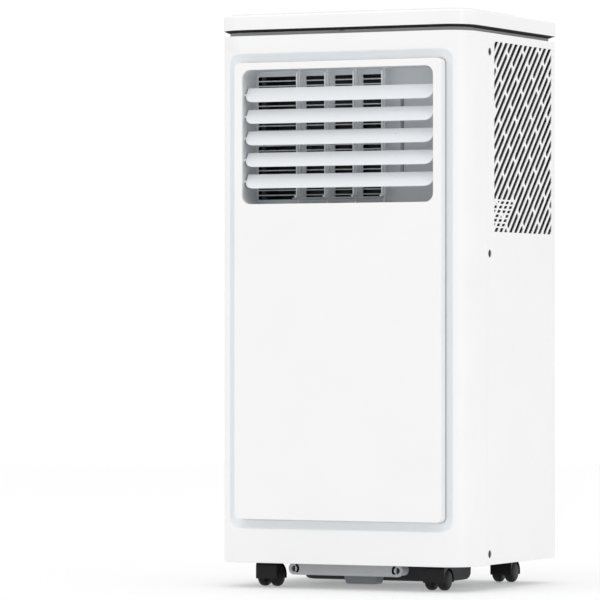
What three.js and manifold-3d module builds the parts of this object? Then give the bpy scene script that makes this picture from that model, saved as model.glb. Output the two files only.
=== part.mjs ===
// Portable air conditioner: a tall white cabinet on four twin-wheel castors.
// Millimetres, +Z up. The origin is on the floor under the cabinet's centre and the front faces -Y.
import * as THREE from "three";
import { mergeVertices } from "three/addons/utils/BufferGeometryUtils.js";
import Module from "manifold-3d";

const wasm = await Module();
wasm.setup();

// ---- Driving dimensions: cabinet ----
const BODY_WIDTH = 320;
const BODY_DEPTH = 269;
const BODY_HEIGHT = 613.5;
const FLOOR_GAP = 29;
const FRONT_CORNER = 33;
const REAR_CORNER = 5;
const WALL = 2.5;
const FIT = 0.3; // clearance between pieces that rest on each other
const FRONT_SHELL_DEPTH = 63.6; // front face back to the seam on each side
const REAR_PANEL_RETURN = 12; // side wall that the rear panel carries

// ---- Driving dimensions: top ----
const NECK_HEIGHT = 6.8;
const NECK_INSET = 7;
const NECK_WALL = 3;
const LID_HEIGHT = 17;
const LID_OVERHANG = 0.8;
const LID_BEVEL = 2;
const CONSOLE_INSET = 9;
const CONSOLE_DEPTH = 158;
const CONSOLE_RISE = 2.8;
const CONSOLE_WALL = 2;
const BUTTON_COUNT = 6;
const BUTTON_RADIUS = 8;
const BUTTON_PITCH = 30;
const BUTTON_HEIGHT = 5;
const BUTTON_STAND = 0.6;
const BUTTON_TRAVEL = 0.8;
const BUTTON_GAP = 0.4;
const DISPLAY_WIDTH = 62;
const DISPLAY_DEPTH = 26;
const RECEIVER_RADIUS = 5;

// ---- Driving dimensions: front panel and outlet ----
const PANEL_STAND = 6; // how far the panel stands in front of the cabinet's face
const PANEL_SIDE = 28.5;
const PANEL_FOOT = 50.8;
const PANEL_HEAD = 32;
const PANEL_CORNER = 6;
const CHANNEL_WIDTH = 11;
const CHANNEL_DEPTH = 8;
const OUTLET_SIDE = 10; // panel edge to the opening
const OUTLET_HEAD = 8.2;
const OUTLET_HEIGHT = 156;
const OUTLET_CORNER = 10;
const DUCT_LENGTH = 39;
const DUCT_WALL = 2.2;
const LOUVRE_COUNT = 5;
const LOUVRE_HEAD = 29; // opening's top edge to the first pivot
const LOUVRE_FOOT = 26.6; // opening's bottom edge to the last pivot
const LOUVRE_GAP = 5.3; // daylight between closed blades
const LOUVRE_THICKNESS = 2.2;
const LOUVRE_SIDE_GAP = 2;
const LOUVRE_CORNER = 9.5;
const LOUVRE_TILT = 34; // degrees from upright at rest
const LOUVRE_PIN = 2;
const PIN_CLEARANCE = 0.4;
const LINK_WIDTH = 5;
const LINK_THICKNESS = 2.5;
const LINK_PIN = 1.3;
const LINK_X = 72;
const LINK_REACH = 15; // pivot to link pin, square to the blade
const VANE_COUNT = 4;
const VANE_PITCH = 36.3;
const VANE_FIRST_X = -62.6;
const VANE_CHORD = 14;
const VANE_THICKNESS = 1.6;
const VANE_PIN = 1.5;
const GRID_BAR = 3;
const GRID_PITCH = 24;
const GRID_THICKNESS = 2;
const GRID_RIGHT = 42; // the grid's windows end here; the wall goes on plain

// ---- Driving dimensions: side grilles ----
const GRILLE_FRONT = 18.9; // seam to the grille's front edge
const GRILLE_LENGTH = 172;
const GRILLE_HEAD = 9.3;
const GRILLE_HEIGHT = 219.8;
const SLOT_PITCH = 10.2; // square to the slots
const SLOT_WIDTH = 6;
const SLOT_PERIOD = 72;
const SLOT_BRIDGE = 4;

// ---- Driving dimensions: rear ----
const COLLAR_STAND = 6;
const COLLAR_RADIUS = 68;
const COLLAR_WALL = 3;
const COLLAR_X = -50;
const COLLAR_Z = 322;
const CASSETTE_WIDTH = 236;
const CASSETTE_HEIGHT = 150;
const CASSETTE_HEAD = 34;
const CASSETTE_DEPTH = 9;
const CASSETTE_BAR = 2.4;
const CASSETTE_PITCH = 12;
const INTAKE_WIDTH = 220;
const INTAKE_HEIGHT = 150;
const INTAKE_FOOT = 60;
const INTAKE_PITCH = 12;
const INTAKE_SLOT = 6;
const DRAIN_RADIUS = 7;
const DRAIN_X = 118;
const DRAIN_Z = 52;
const GLAND_RADIUS = 9;
const GLAND_X = 128;
const GLAND_Z = 120;

// ---- Driving dimensions: underside and castors ----
const BASE_THICKNESS = 4;
const BASE_RIM = 22;
const RAIL_WIDTH = 117;
const RAIL_DROP = 10;
const RAIL_SETBACK = 18;
const RAIL_DEPTH = 10;
const BOSS_X = 65.7;
const BOSS_RADIUS = 7.2;
const BOSS_DROP = 6.5;
const WELL_WIDTH = 188;
const WELL_DEPTH = 78;
const WELL_SETBACK = 97;
const WELL_DROP = 22.8;
const SUMP_WIDTH = 41.4;
const SUMP_DEPTH = 24;
const SUMP_SETBACK = 58;
const SUMP_DROP = 25.2;
const CASTOR_INSET_X = 53;
const CASTOR_INSET_Y = 36.5;
const CASTOR_WIDTH = 28;
const WHEEL_RADIUS = 12.5;
const WHEEL_WIDTH = 12.6;
const CASTOR_TRAIL = 6;
const CASTOR_STEM = 4.5;
const STEM_ROOT = 2; // how far the stem reaches into the hood
const CASTOR_HOOD = 14.2;
const CASTOR_WEB = 5;
const AXLE_RADIUS = 2.2;

// ---- Driving dimensions: works ----
const DECK_BELOW_OUTLET = 42; // outlet's lower edge down to the deck between the two air paths
const DECK_THICKNESS = 4;
const DECK_RIM = 14;
const COIL_THICKNESS = 22;
const COIL_GAP = 12;
const FAN_RADIUS = 64;
const FAN_SIDE_ROOM = 7; // lower wheel's rim to the outside of its case
const CHAMBER_MARGIN = 3; // exhaust collar's rim to the outside of the chamber behind it
const FAN_DEPTH = 34;
const FAN_BLADES = 12;
const FAN_CASE_ROOM = 10;
const VOLUTE_WALL = 2.5;
const MOTOR_RADIUS = 34;
const MOTOR_LENGTH = 42;
const SHAFT_RADIUS = 4;
const COMPRESSOR_X = 82;
const COMPRESSOR_Y = -50;
const COMPRESSOR_RADIUS = 45;
const COMPRESSOR_HEIGHT = 178;
const ACCUMULATOR_RADIUS = 17;
const ACCUMULATOR_HEIGHT = 96;
const PIPE_RADIUS = 4;

// ---- Places worked out from the sizes ----
const FRONT = -BODY_DEPTH / 2;
const BACK = BODY_DEPTH / 2;
const SIDE = BODY_WIDTH / 2;
const BOTTOM = FLOOR_GAP;
const TOP = FLOOR_GAP + BODY_HEIGHT;
const LID_BOTTOM = TOP + NECK_HEIGHT;
const LID_TOP = LID_BOTTOM + LID_HEIGHT;
const CONSOLE_TOP = LID_TOP + CONSOLE_RISE;
const SEAM = FRONT + FRONT_SHELL_DEPTH;
const PANEL_FRONT = FRONT - PANEL_STAND;
const PANEL_HALF = SIDE - PANEL_SIDE;
const PANEL_BOTTOM = BOTTOM + PANEL_FOOT;
const PANEL_TOP = TOP - PANEL_HEAD;
const CHANNEL_FLOOR = FRONT + CHANNEL_DEPTH;
const OUTLET_HALF = PANEL_HALF - OUTLET_SIDE;
const OUTLET_TOP = PANEL_TOP - OUTLET_HEAD;
const OUTLET_BOTTOM = OUTLET_TOP - OUTLET_HEIGHT;
const DUCT_FRONT = PANEL_FRONT + WALL + FIT;
const DUCT_BACK = DUCT_FRONT + DUCT_LENGTH;
const LOUVRE_PITCH = (OUTLET_HEIGHT - LOUVRE_HEAD - LOUVRE_FOOT) / (LOUVRE_COUNT - 1);
const LOUVRE_CHORD = LOUVRE_PITCH - LOUVRE_GAP;
const LOUVRE_HALF = OUTLET_HALF - LOUVRE_SIDE_GAP;
const LOUVRE_Y = PANEL_FRONT + 8;
const VANE_Y = DUCT_BACK - GRID_THICKNESS - VANE_CHORD / 2 - 2;
const DECK_TOP = OUTLET_BOTTOM - DECK_BELOW_OUTLET;
const GRILLE_Y0 = SEAM + GRILLE_FRONT;
const GRILLE_Z1 = TOP - GRILLE_HEAD;
const CASSETTE_TOP = TOP - CASSETTE_HEAD;
const INNER_BACK = BACK - WALL;

// ---- Solids ----

// Turns a closed geometry into a manifold solid.
function solid(geometry) {
  const bare = geometry.clone();
  bare.deleteAttribute("normal");
  bare.deleteAttribute("uv");
  const merged = mergeVertices(bare, 1e-4);
  const mesh = new wasm.Mesh({
    numProp: 3,
    vertProperties: merged.attributes.position.array,
    triVerts: new Uint32Array(merged.index.array),
  });
  return new wasm.Manifold(mesh);
}

// Turns a manifold solid back into a geometry.
function geometryOf(body) {
  const mesh = body.getMesh();
  const geometry = new THREE.BufferGeometry();
  geometry.setAttribute("position", new THREE.BufferAttribute(mesh.vertProperties, 3));
  geometry.setIndex(new THREE.BufferAttribute(mesh.triVerts, 1));
  return geometry.toNonIndexed();
}

// Joins any number of solids.
function join(first, ...others) {
  return others.reduce((whole, next) => whole.add(next), first);
}

// Cuts any number of solids out of the first.
function cut(first, ...others) {
  return others.reduce((whole, next) => whole.subtract(next), first);
}

const AXIS_X = new THREE.Vector3(1, 0, 0);
const AXIS_Y = new THREE.Vector3(0, 1, 0);
const AXIS_Z = new THREE.Vector3(0, 0, 1);

// Extrudes an outline between two planes square to an axis.
// The outline is drawn in (x, y) for axis z, (x, z) for axis y and (y, z) for axis x.
function prism(shape, axis, from, to, curveSegments = 4) {
  const geometry = new THREE.ExtrudeGeometry(shape, {
    depth: to - from,
    bevelEnabled: false,
    curveSegments,
  });
  const turn = new THREE.Matrix4();
  if (axis === "x") {
    turn.makeBasis(AXIS_Y, AXIS_Z, AXIS_X);
    turn.setPosition(from, 0, 0);
  } else if (axis === "y") {
    turn.makeBasis(AXIS_X, AXIS_Z, AXIS_Y.clone().negate());
    turn.setPosition(0, to, 0);
  } else {
    turn.setPosition(0, 0, from);
  }
  return solid(geometry.applyMatrix4(turn));
}

function box(x0, x1, y0, y1, z0, z1) {
  const geometry = new THREE.BoxGeometry(x1 - x0, y1 - y0, z1 - z0);
  return solid(geometry.translate((x0 + x1) / 2, (y0 + y1) / 2, (z0 + z1) / 2));
}

// A round bar along an axis; u and v place it as in prism.
function rod(axis, u, v, radius, from, to, sides = 16, tipRadius = radius) {
  const geometry = new THREE.CylinderGeometry(tipRadius, radius, to - from, sides);
  geometry.translate(0, (from + to) / 2, 0);
  if (axis === "z") {
    geometry.rotateX(Math.PI / 2);
    return solid(geometry.translate(u, v, 0));
  }
  if (axis === "x") {
    geometry.rotateZ(-Math.PI / 2);
    return solid(geometry.translate(0, u, v));
  }
  return solid(geometry.translate(u, 0, v));
}

// A rectangle with a radius for each corner: low left, low right, top right, top left.
function roundedRectangle(u0, u1, v0, v1, [lowLeft, lowRight, topRight, topLeft]) {
  const shape = new THREE.Shape();
  shape.moveTo(u0 + lowLeft, v0);
  shape.lineTo(u1 - lowRight, v0);
  shape.absarc(u1 - lowRight, v0 + lowRight, lowRight, -Math.PI / 2, 0);
  shape.lineTo(u1, v1 - topRight);
  shape.absarc(u1 - topRight, v1 - topRight, topRight, 0, Math.PI / 2);
  shape.lineTo(u0 + topLeft, v1);
  shape.absarc(u0 + topLeft, v1 - topLeft, topLeft, Math.PI / 2, Math.PI);
  shape.lineTo(u0, v0 + lowLeft);
  shape.absarc(u0 + lowLeft, v0 + lowLeft, lowLeft, Math.PI, 1.5 * Math.PI);
  return shape;
}

function evenCorners(radius) {
  return [radius, radius, radius, radius];
}

// The cabinet's plan, moved in by an inset (out if negative).
function planOutline(inset) {
  const front = Math.max(FRONT_CORNER - inset, 0.5);
  const rear = Math.max(REAR_CORNER - inset, 0.5);
  const across = SIDE - inset;
  return roundedRectangle(-across, across, FRONT + inset, BACK - inset, [front, front, rear, rear]);
}

const FAR = 2 * (BODY_WIDTH + BODY_DEPTH + BODY_HEIGHT);

// ---- Finishes ----
const FINISH = {
  white: { color: 0xf3f4f5, roughness: 0.32, metalness: 0 },
  duct: { color: 0xdfe3e6, roughness: 0.45, metalness: 0 },
  charcoal: { color: 0x2a2c30, roughness: 0.5, metalness: 0 },
  black: { color: 0x15161a, roughness: 0.2, metalness: 0 },
  grey: { color: 0x7d8286, roughness: 0.55, metalness: 0 },
  tray: { color: 0x3c3f44, roughness: 0.6, metalness: 0 },
  zinc: { color: 0xa9adb0, roughness: 0.4, metalness: 0.9 },
  fins: { color: 0xc6cacd, roughness: 0.35, metalness: 0.9 },
  copper: { color: 0xb87346, roughness: 0.3, metalness: 1 },
  tyre: { color: 0x1c1d20, roughness: 0.7, metalness: 0 },
};

const unit = new THREE.Group();

function place(name, body, finish, position = [0, 0, 0]) {
  const mesh = new THREE.Mesh(geometryOf(body), new THREE.MeshStandardMaterial(FINISH[finish]));
  mesh.name = name;
  mesh.position.set(...position);
  unit.add(mesh);
  return mesh;
}

// ---- Cabinet shells ----

const cabinetWall = cut(
  prism(planOutline(0), "z", BOTTOM, TOP),
  prism(planOutline(WALL), "z", BOTTOM - 1, TOP + 1),
);

function panelOutline(grow) {
  const corner = evenCorners(PANEL_CORNER + grow);
  return roundedRectangle(
    -PANEL_HALF - grow,
    PANEL_HALF + grow,
    PANEL_BOTTOM - grow,
    PANEL_TOP + grow,
    corner,
  );
}

function outletOutline(grow) {
  const corner = evenCorners(OUTLET_CORNER + grow);
  return roundedRectangle(
    -OUTLET_HALF - grow,
    OUTLET_HALF + grow,
    OUTLET_BOTTOM - grow,
    OUTLET_TOP + grow,
    corner,
  );
}

// Front shell: wraps both front corners and carries the channel round the outlet panel.
function makeFrontShell() {
  const wall = cabinetWall.intersect(box(-FAR, FAR, -FAR, SEAM - FIT / 2, -FAR, FAR));
  const backing = prism(panelOutline(CHANNEL_WIDTH + WALL), "y", FRONT + WALL / 2, CHANNEL_FLOOR + WALL);
  const channel = prism(panelOutline(CHANNEL_WIDTH), "y", FRONT - 1, CHANNEL_FLOOR);
  const opening = prism(outletOutline(DUCT_WALL + 2 * FIT), "y", FRONT - 1, CHANNEL_FLOOR + WALL + 1);
  place("front_shell", cut(join(wall, backing), channel, opening), "white");
}

// Slanted slots that rise to the rear, each line half a period along from the next.
function slantedSlots() {
  const z0 = GRILLE_Z1 - GRILLE_HEIGHT;
  const y1 = GRILLE_Y0 + GRILLE_LENGTH;
  const frame = box(-FAR, FAR, GRILLE_Y0, y1, z0, GRILLE_Z1);
  const reach = GRILLE_LENGTH + GRILLE_HEIGHT;
  const lines = Math.ceil(reach / SLOT_PITCH);
  const half = SLOT_WIDTH / 2;
  const run = (SLOT_PERIOD - SLOT_BRIDGE) / 2;
  const slant = Math.SQRT1_2;
  const slots = [];
  for (let line = -lines; line <= lines; line++) {
    const stagger = (line % 2) * (SLOT_PERIOD / 2);
    for (let step = -8; step <= 8; step++) {
      const along = step * SLOT_PERIOD + stagger;
      const y = GRILLE_Y0 + GRILLE_LENGTH / 2 + (along - line * SLOT_PITCH) * slant;
      const z = GRILLE_Z1 - GRILLE_HEIGHT / 2 + (along + line * SLOT_PITCH) * slant;
      const clear = run + half;
      const outside = y < GRILLE_Y0 - clear || y > y1 + clear || z < z0 - clear || z > GRILLE_Z1 + clear;
      if (outside) continue;
      const slot = new THREE.Shape();
      slot.moveTo(-run, -half);
      slot.lineTo(run, -half);
      slot.lineTo(run, half);
      slot.lineTo(-run, half);
      slot.closePath();
      const turned = slot.getPoints().map((point) => point.rotateAround(new THREE.Vector2(), Math.PI / 4));
      const moved = turned.map((point) => new THREE.Vector2(point.x + y, point.y + z));
      slots.push(prism(new THREE.Shape(moved), "x", -FAR, FAR));
    }
  }
  return join(...slots).intersect(frame);
}

function makeSidePanels(slots) {
  const rearSeam = BACK - REAR_PANEL_RETURN;
  const strip = cabinetWall.intersect(box(-FAR, FAR, SEAM + FIT / 2, rearSeam - FIT / 2, -FAR, FAR));
  const sides = { right: [0, FAR], left: [-FAR, 0] };
  for (const [name, [x0, x1]] of Object.entries(sides)) {
    const panel = strip.intersect(box(x0, x1, -FAR, FAR, -FAR, FAR));
    place(`${name}_side_panel`, cut(panel, slots), "white");
  }
}

// A frame with level ribs and two uprights that holds the filter mesh behind each side grille.
function makeSideFilters() {
  const margin = 4;
  const y0 = GRILLE_Y0 - margin;
  const y1 = GRILLE_Y0 + GRILLE_LENGTH + margin;
  const z0 = GRILLE_Z1 - GRILLE_HEIGHT - margin;
  const z1 = GRILLE_Z1 + margin;
  const bar = 5;
  const ribs = 4;
  const uprights = 2;
  const thickness = 4;
  for (const [name, sign] of [["right", 1], ["left", -1]]) {
    const outer = sign * (SIDE - WALL - FIT);
    const inner = outer - sign * thickness;
    const x0 = Math.min(outer, inner);
    const x1 = Math.max(outer, inner);
    const windows = [];
    const cellZ = (z1 - z0 - bar) / (ribs + 1);
    const cellY = (y1 - y0 - bar) / uprights;
    for (let row = 0; row <= ribs; row++) {
      for (let column = 0; column < uprights; column++) {
        const z = z0 + bar + row * cellZ;
        const y = y0 + bar + column * cellY;
        windows.push(box(x0 - 1, x1 + 1, y, y + cellY - bar, z, z + cellZ - bar));
      }
    }
    place(`${name}_filter_frame`, cut(box(x0, x1, y0, y1, z0, z1), ...windows), "grey");
  }
}

// Rear panel: the openings for the filter cassette, exhaust, lower intake, drain and cord.
function makeRearPanel() {
  const rearSeam = BACK - REAR_PANEL_RETURN;
  const panel = cabinetWall.intersect(box(-FAR, FAR, rearSeam + FIT / 2, FAR, -FAR, FAR));
  const mouth = box(
    -CASSETTE_WIDTH / 2,
    CASSETTE_WIDTH / 2,
    INNER_BACK - 1,
    BACK + 1,
    CASSETTE_TOP - CASSETTE_HEIGHT,
    CASSETTE_TOP,
  );
  const hole = rod("y", COLLAR_X, COLLAR_Z, COLLAR_RADIUS - 8, INNER_BACK - 1, BACK + 1, 32);
  const slots = [];
  const rows = Math.floor(INTAKE_HEIGHT / INTAKE_PITCH);
  const columns = 3;
  const columnWidth = INTAKE_WIDTH / columns;
  for (let row = 0; row < rows; row++) {
    for (let column = 0; column < columns; column++) {
      const x = -INTAKE_WIDTH / 2 + column * columnWidth;
      const z = BOTTOM + INTAKE_FOOT + row * INTAKE_PITCH;
      slots.push(box(x, x + columnWidth - 5, INNER_BACK - 1, BACK + 1, z, z + INTAKE_SLOT));
    }
  }
  const drain = rod("y", DRAIN_X, DRAIN_Z, DRAIN_RADIUS + 2 + FIT, INNER_BACK - 1, BACK + 1, 24);
  const cord = rod("y", GLAND_X, GLAND_Z, GLAND_RADIUS - 2, INNER_BACK - 1, BACK + 1, 24);
  place("rear_panel", cut(panel, mouth, hole, drain, cord, ...slots), "white");
}

// Grille and filter in one cassette that pulls straight out of the rear panel.
function makeFilterCassette() {
  const half = CASSETTE_WIDTH / 2 - 1;
  const z0 = CASSETTE_TOP - CASSETTE_HEIGHT + 1;
  const z1 = CASSETTE_TOP - 1;
  const rim = 8;
  const y0 = BACK - CASSETTE_DEPTH;
  const windows = [];
  const rows = Math.floor((z1 - z0 - 2 * rim) / CASSETTE_PITCH);
  const columns = 3;
  const columnWidth = (2 * half - 2 * rim + CASSETTE_BAR) / columns;
  for (let row = 0; row < rows; row++) {
    for (let column = 0; column < columns; column++) {
      const x = -half + rim + column * columnWidth;
      const z = z0 + rim + row * CASSETTE_PITCH;
      const x1 = x + columnWidth - CASSETTE_BAR;
      windows.push(box(x, x1, y0 - 1, BACK + 1, z, z + CASSETTE_PITCH - CASSETTE_BAR));
    }
  }
  place("filter_cassette", cut(box(-half, half, y0, BACK, z0, z1), ...windows), "white");
}

// Collar that the exhaust hose twists onto, bolted behind the rear panel's hole.
function makeExhaustCollar() {
  const y0 = BACK + FIT;
  const y1 = BACK + COLLAR_STAND;
  const ring = cut(
    rod("y", COLLAR_X, COLLAR_Z, COLLAR_RADIUS, y0, y1, 32),
    rod("y", COLLAR_X, COLLAR_Z, COLLAR_RADIUS - COLLAR_WALL, y0 - 1, y1 + 1, 32),
  );
  const bar = 4;
  const reach = COLLAR_RADIUS - COLLAR_WALL / 2;
  const bars = [-34, 0, 34].map((offset) => {
    const across = Math.sqrt(reach ** 2 - (Math.abs(offset) + bar) ** 2);
    const z = COLLAR_Z + offset;
    return box(COLLAR_X - across, COLLAR_X + across, y0, y0 + 2, z - bar / 2, z + bar / 2);
  });
  const post = box(COLLAR_X - bar / 2, COLLAR_X + bar / 2, y0, y0 + 2, COLLAR_Z - reach, COLLAR_Z + reach);
  place("exhaust_collar", join(ring, post, ...bars), "white");
}

function makeDrainAndGland() {
  const y1 = BACK + 3;
  const seat = BACK - 16;
  const port = cut(
    rod("y", DRAIN_X, DRAIN_Z, DRAIN_RADIUS + 2, seat, BACK, 24),
    rod("y", DRAIN_X, DRAIN_Z, DRAIN_RADIUS, seat + 2, BACK + 1, 24),
  );
  place("drain_port", port, "white");
  const plug = join(
    rod("y", DRAIN_X, DRAIN_Z, DRAIN_RADIUS - FIT, BACK - 10, BACK + FIT + 0.5, 24),
    rod("y", DRAIN_X, DRAIN_Z, DRAIN_RADIUS + 1.5, BACK + FIT, y1, 24),
    box(DRAIN_X - 1.2, DRAIN_X + 1.2, BACK + FIT, BACK + COLLAR_STAND, DRAIN_Z - 6, DRAIN_Z + 6),
  );
  place("drain_plug", plug, "charcoal");
  const neck = GLAND_RADIUS - 2 - FIT;
  const gland = cut(
    join(
      rod("y", GLAND_X, GLAND_Z, GLAND_RADIUS, BACK + FIT, BACK + COLLAR_STAND, 24, GLAND_RADIUS - 2),
      rod("y", GLAND_X, GLAND_Z, neck, INNER_BACK - 4, BACK + 1, 24),
    ),
    rod("y", GLAND_X, GLAND_Z, 3.8, INNER_BACK - 5, BACK + COLLAR_STAND + 1, 16),
  );
  place("cord_gland", gland, "charcoal");
}

// ---- Outlet panel, duct, louvres and vanes ----

function makeOutletPanel() {
  const back = CHANNEL_FLOOR - FIT;
  const shell = cut(
    prism(panelOutline(0), "y", PANEL_FRONT, back),
    prism(panelOutline(-WALL), "y", PANEL_FRONT + WALL, back + 1),
  );
  place("outlet_panel", cut(shell, prism(outletOutline(0), "y", PANEL_FRONT - 1, back + 1)), "white");
}

function louvrePivotZ(index) {
  return OUTLET_TOP - LOUVRE_HEAD - index * LOUVRE_PITCH;
}

const TILT = THREE.MathUtils.degToRad(LOUVRE_TILT);
// Link pins lie behind the blades, square to the chord.
const LINK_DY = LINK_REACH * Math.cos(TILT * 0.5);
const LINK_DZ = LINK_REACH * Math.sin(TILT * 0.5);

function makeDuct() {
  const outer = prism(outletOutline(DUCT_WALL), "y", DUCT_FRONT, DUCT_BACK);
  const inner = prism(outletOutline(0), "y", DUCT_FRONT - 1, DUCT_BACK - GRID_THICKNESS);
  const windows = [];
  const edges = [-OUTLET_HALF + 1];
  for (let vane = 0; vane < VANE_COUNT; vane++) edges.push(VANE_FIRST_X + vane * VANE_PITCH);
  const top = OUTLET_TOP - 6;
  const rows = Math.floor((OUTLET_HEIGHT - 12) / GRID_PITCH);
  for (let column = 0; column + 1 < edges.length; column++) {
    for (let row = 0; row < rows; row++) {
      const z1 = top - row * GRID_PITCH;
      const z0 = z1 - GRID_PITCH + GRID_BAR;
      const x0 = edges[column] + (column ? GRID_BAR / 2 : 0);
      const x1 = Math.min(edges[column + 1] - GRID_BAR / 2, GRID_RIGHT);
      windows.push(box(x0, x1, DUCT_BACK - GRID_THICKNESS - 1, DUCT_BACK + 1, z0, z1));
    }
  }
  const sockets = [];
  for (let index = 0; index < LOUVRE_COUNT; index++) {
    const reach = OUTLET_HALF + DUCT_WALL + 1;
    sockets.push(rod("x", LOUVRE_Y, louvrePivotZ(index), LOUVRE_PIN + PIN_CLEARANCE, -reach, reach, 8));
  }
  const vaneSockets = [];
  for (let vane = 0; vane < VANE_COUNT; vane++) {
    const x = VANE_FIRST_X + vane * VANE_PITCH;
    const low = OUTLET_BOTTOM - DUCT_WALL - 1;
    vaneSockets.push(rod("z", x, VANE_Y, VANE_PIN + PIN_CLEARANCE, low, OUTLET_TOP + DUCT_WALL + 1, 8));
  }
  place("outlet_duct", cut(outer, inner, ...windows, ...sockets, ...vaneSockets), "duct");
}

// One louvre blade about its own pivot: a shallow curve leaning back at the top.
function louvreBlade() {
  const half = LOUVRE_CHORD / 2;
  const bulge = 1.6;
  const skin = LOUVRE_THICKNESS / 2;
  const steps = 4;
  const section = [];
  for (const side of [-1, 1]) {
    for (let step = 0; step <= steps; step++) {
      const along = side * (1 - (2 * step) / steps);
      const bow = -bulge * (1 - along * along) + bulge / 2;
      section.push(new THREE.Vector2(bow + side * skin, along * half));
    }
  }
  const leaned = section.map((point) => point.rotateAround(new THREE.Vector2(), -TILT));
  const blade = prism(new THREE.Shape(leaned.reverse()), "x", -LOUVRE_HALF, LOUVRE_HALF);
  const reach = half + 2;
  const corners = [LOUVRE_CORNER, LOUVRE_CORNER, 2, 2];
  const low = -half * Math.cos(TILT) - 1;
  const outline = roundedRectangle(-LOUVRE_HALF, LOUVRE_HALF, low, reach, corners);
  return blade.intersect(prism(outline, "y", -reach, reach));
}

function makeLouvres() {
  const blade = louvreBlade();
  const pinReach = OUTLET_HALF + DUCT_WALL - 0.5;
  const tabX = LINK_X - FIT;
  const tab = new THREE.Shape();
  const arm = 3;
  tab.moveTo(0, -arm);
  tab.lineTo(LINK_DY + arm, LINK_DZ - arm);
  tab.lineTo(LINK_DY + arm, LINK_DZ + arm);
  tab.lineTo(0, arm);
  tab.closePath();
  const louvre = join(
    blade,
    rod("x", 0, 0, LOUVRE_PIN, -pinReach, -LOUVRE_HALF + 2, 8),
    rod("x", 0, 0, LOUVRE_PIN, LOUVRE_HALF - 2, pinReach, 8),
    prism(tab, "x", tabX - 2, tabX),
    rod("x", LINK_DY, LINK_DZ, LINK_PIN, tabX - 1, tabX + FIT + LINK_THICKNESS + 1.5, 8),
  );
  for (let index = 0; index < LOUVRE_COUNT; index++) {
    place(`louvre_${index + 1}`, louvre, "white", [0, LOUVRE_Y, louvrePivotZ(index)]);
  }
}

function makeLouvreLink() {
  const y = LOUVRE_Y + LINK_DY;
  const top = louvrePivotZ(0) + LINK_DZ;
  const bottom = louvrePivotZ(LOUVRE_COUNT - 1) + LINK_DZ;
  const half = LINK_WIDTH / 2;
  const end = evenCorners(half - 0.5);
  const outline = roundedRectangle(y - half, y + half, bottom - half, top + half, end);
  const holes = [];
  for (let index = 0; index < LOUVRE_COUNT; index++) {
    const z = louvrePivotZ(index) + LINK_DZ;
    holes.push(rod("x", y, z, LINK_PIN + PIN_CLEARANCE, LINK_X - 1, LINK_X + LINK_THICKNESS + 1, 8));
  }
  place("louvre_link", cut(prism(outline, "x", LINK_X, LINK_X + LINK_THICKNESS), ...holes), "grey");
}

// Upright vanes behind the louvres, each on its own pins, with an arm to a shared link.
function makeVanes() {
  const half = VANE_CHORD / 2;
  const top = OUTLET_TOP - 2;
  const bottom = OUTLET_BOTTOM + 8;
  const armTop = bottom + 2;
  const skin = VANE_THICKNESS / 2;
  const vane = join(
    box(-skin, skin, -half, half, bottom, top),
    rod("z", 0, 0, VANE_PIN, OUTLET_BOTTOM - DUCT_WALL + 0.4, bottom + 1, 8),
    rod("z", 0, 0, VANE_PIN, top - 1, OUTLET_TOP + DUCT_WALL - 0.4, 8),
    box(-1.2, 1.2, -half - 3, -half + 2, bottom, armTop),
    rod("z", 0, -half - 3 + 1.2, 1.1, bottom - 3.5, bottom + 1, 8),
  );
  const xs = [];
  for (let index = 0; index < VANE_COUNT; index++) {
    const x = VANE_FIRST_X + index * VANE_PITCH;
    xs.push(x);
    place(`guide_vane_${index + 1}`, vane, "duct", [x, VANE_Y, 0]);
  }
  const linkTop = bottom - FIT;
  const y = VANE_Y - half - 3 + 1.2;
  const holes = xs.map((x) => rod("z", x, y, 1.1 + PIN_CLEARANCE, linkTop - 5, linkTop + 1, 8));
  const bar = box(xs[0] - 4, xs[VANE_COUNT - 1] + 4, y - 2.5, y + 2.5, linkTop - 2, linkTop);
  place("vane_link", cut(bar, ...holes), "grey");
}

// ---- Top ----

function makeNeckAndLid() {
  const neck = cut(
    prism(planOutline(NECK_INSET), "z", TOP - 4, LID_BOTTOM + 1),
    prism(planOutline(NECK_INSET + NECK_WALL), "z", TOP - 7, LID_BOTTOM + 2),
  );
  const flange = cut(
    prism(planOutline(WALL + FIT), "z", TOP - 4, TOP - 2),
    prism(planOutline(NECK_INSET + NECK_WALL), "z", TOP - 7, TOP),
  );
  place("neck_ring", join(neck, flange), "charcoal");

  const bevelBase = LID_TOP - LID_BEVEL;
  const crown = 2;
  const skin = cut(
    join(
      prism(planOutline(-LID_OVERHANG), "z", LID_BOTTOM, bevelBase),
      prism(planOutline(-LID_OVERHANG + LID_BEVEL / 2), "z", bevelBase - 1, LID_TOP),
    ),
    prism(planOutline(WALL - LID_OVERHANG), "z", LID_BOTTOM - 1, LID_BOTTOM + 5),
    prism(planOutline(NECK_INSET + NECK_WALL + crown), "z", LID_BOTTOM - 1, LID_TOP - WALL - 1),
  );
  const y0 = FRONT + CONSOLE_INSET;
  const well = consoleOutline(FIT, y0, y0 + CONSOLE_DEPTH);
  place("top_cover", cut(skin, prism(well, "z", LID_TOP - WALL - 2, LID_TOP + 1)), "white");
}

function consoleOutline(grow, y0, y1) {
  const half = SIDE - CONSOLE_INSET + grow;
  const front = FRONT_CORNER - CONSOLE_INSET + grow;
  return roundedRectangle(-half, half, y0 - grow, y1 + grow, [front, front, 3, 3]);
}

function buttonX(index) {
  const row = (BUTTON_COUNT - 1) * BUTTON_PITCH;
  const side = index < BUTTON_COUNT / 2 ? -1 : 1;
  return -row / 2 + index * BUTTON_PITCH + side * (DISPLAY_WIDTH / 2);
}

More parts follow.
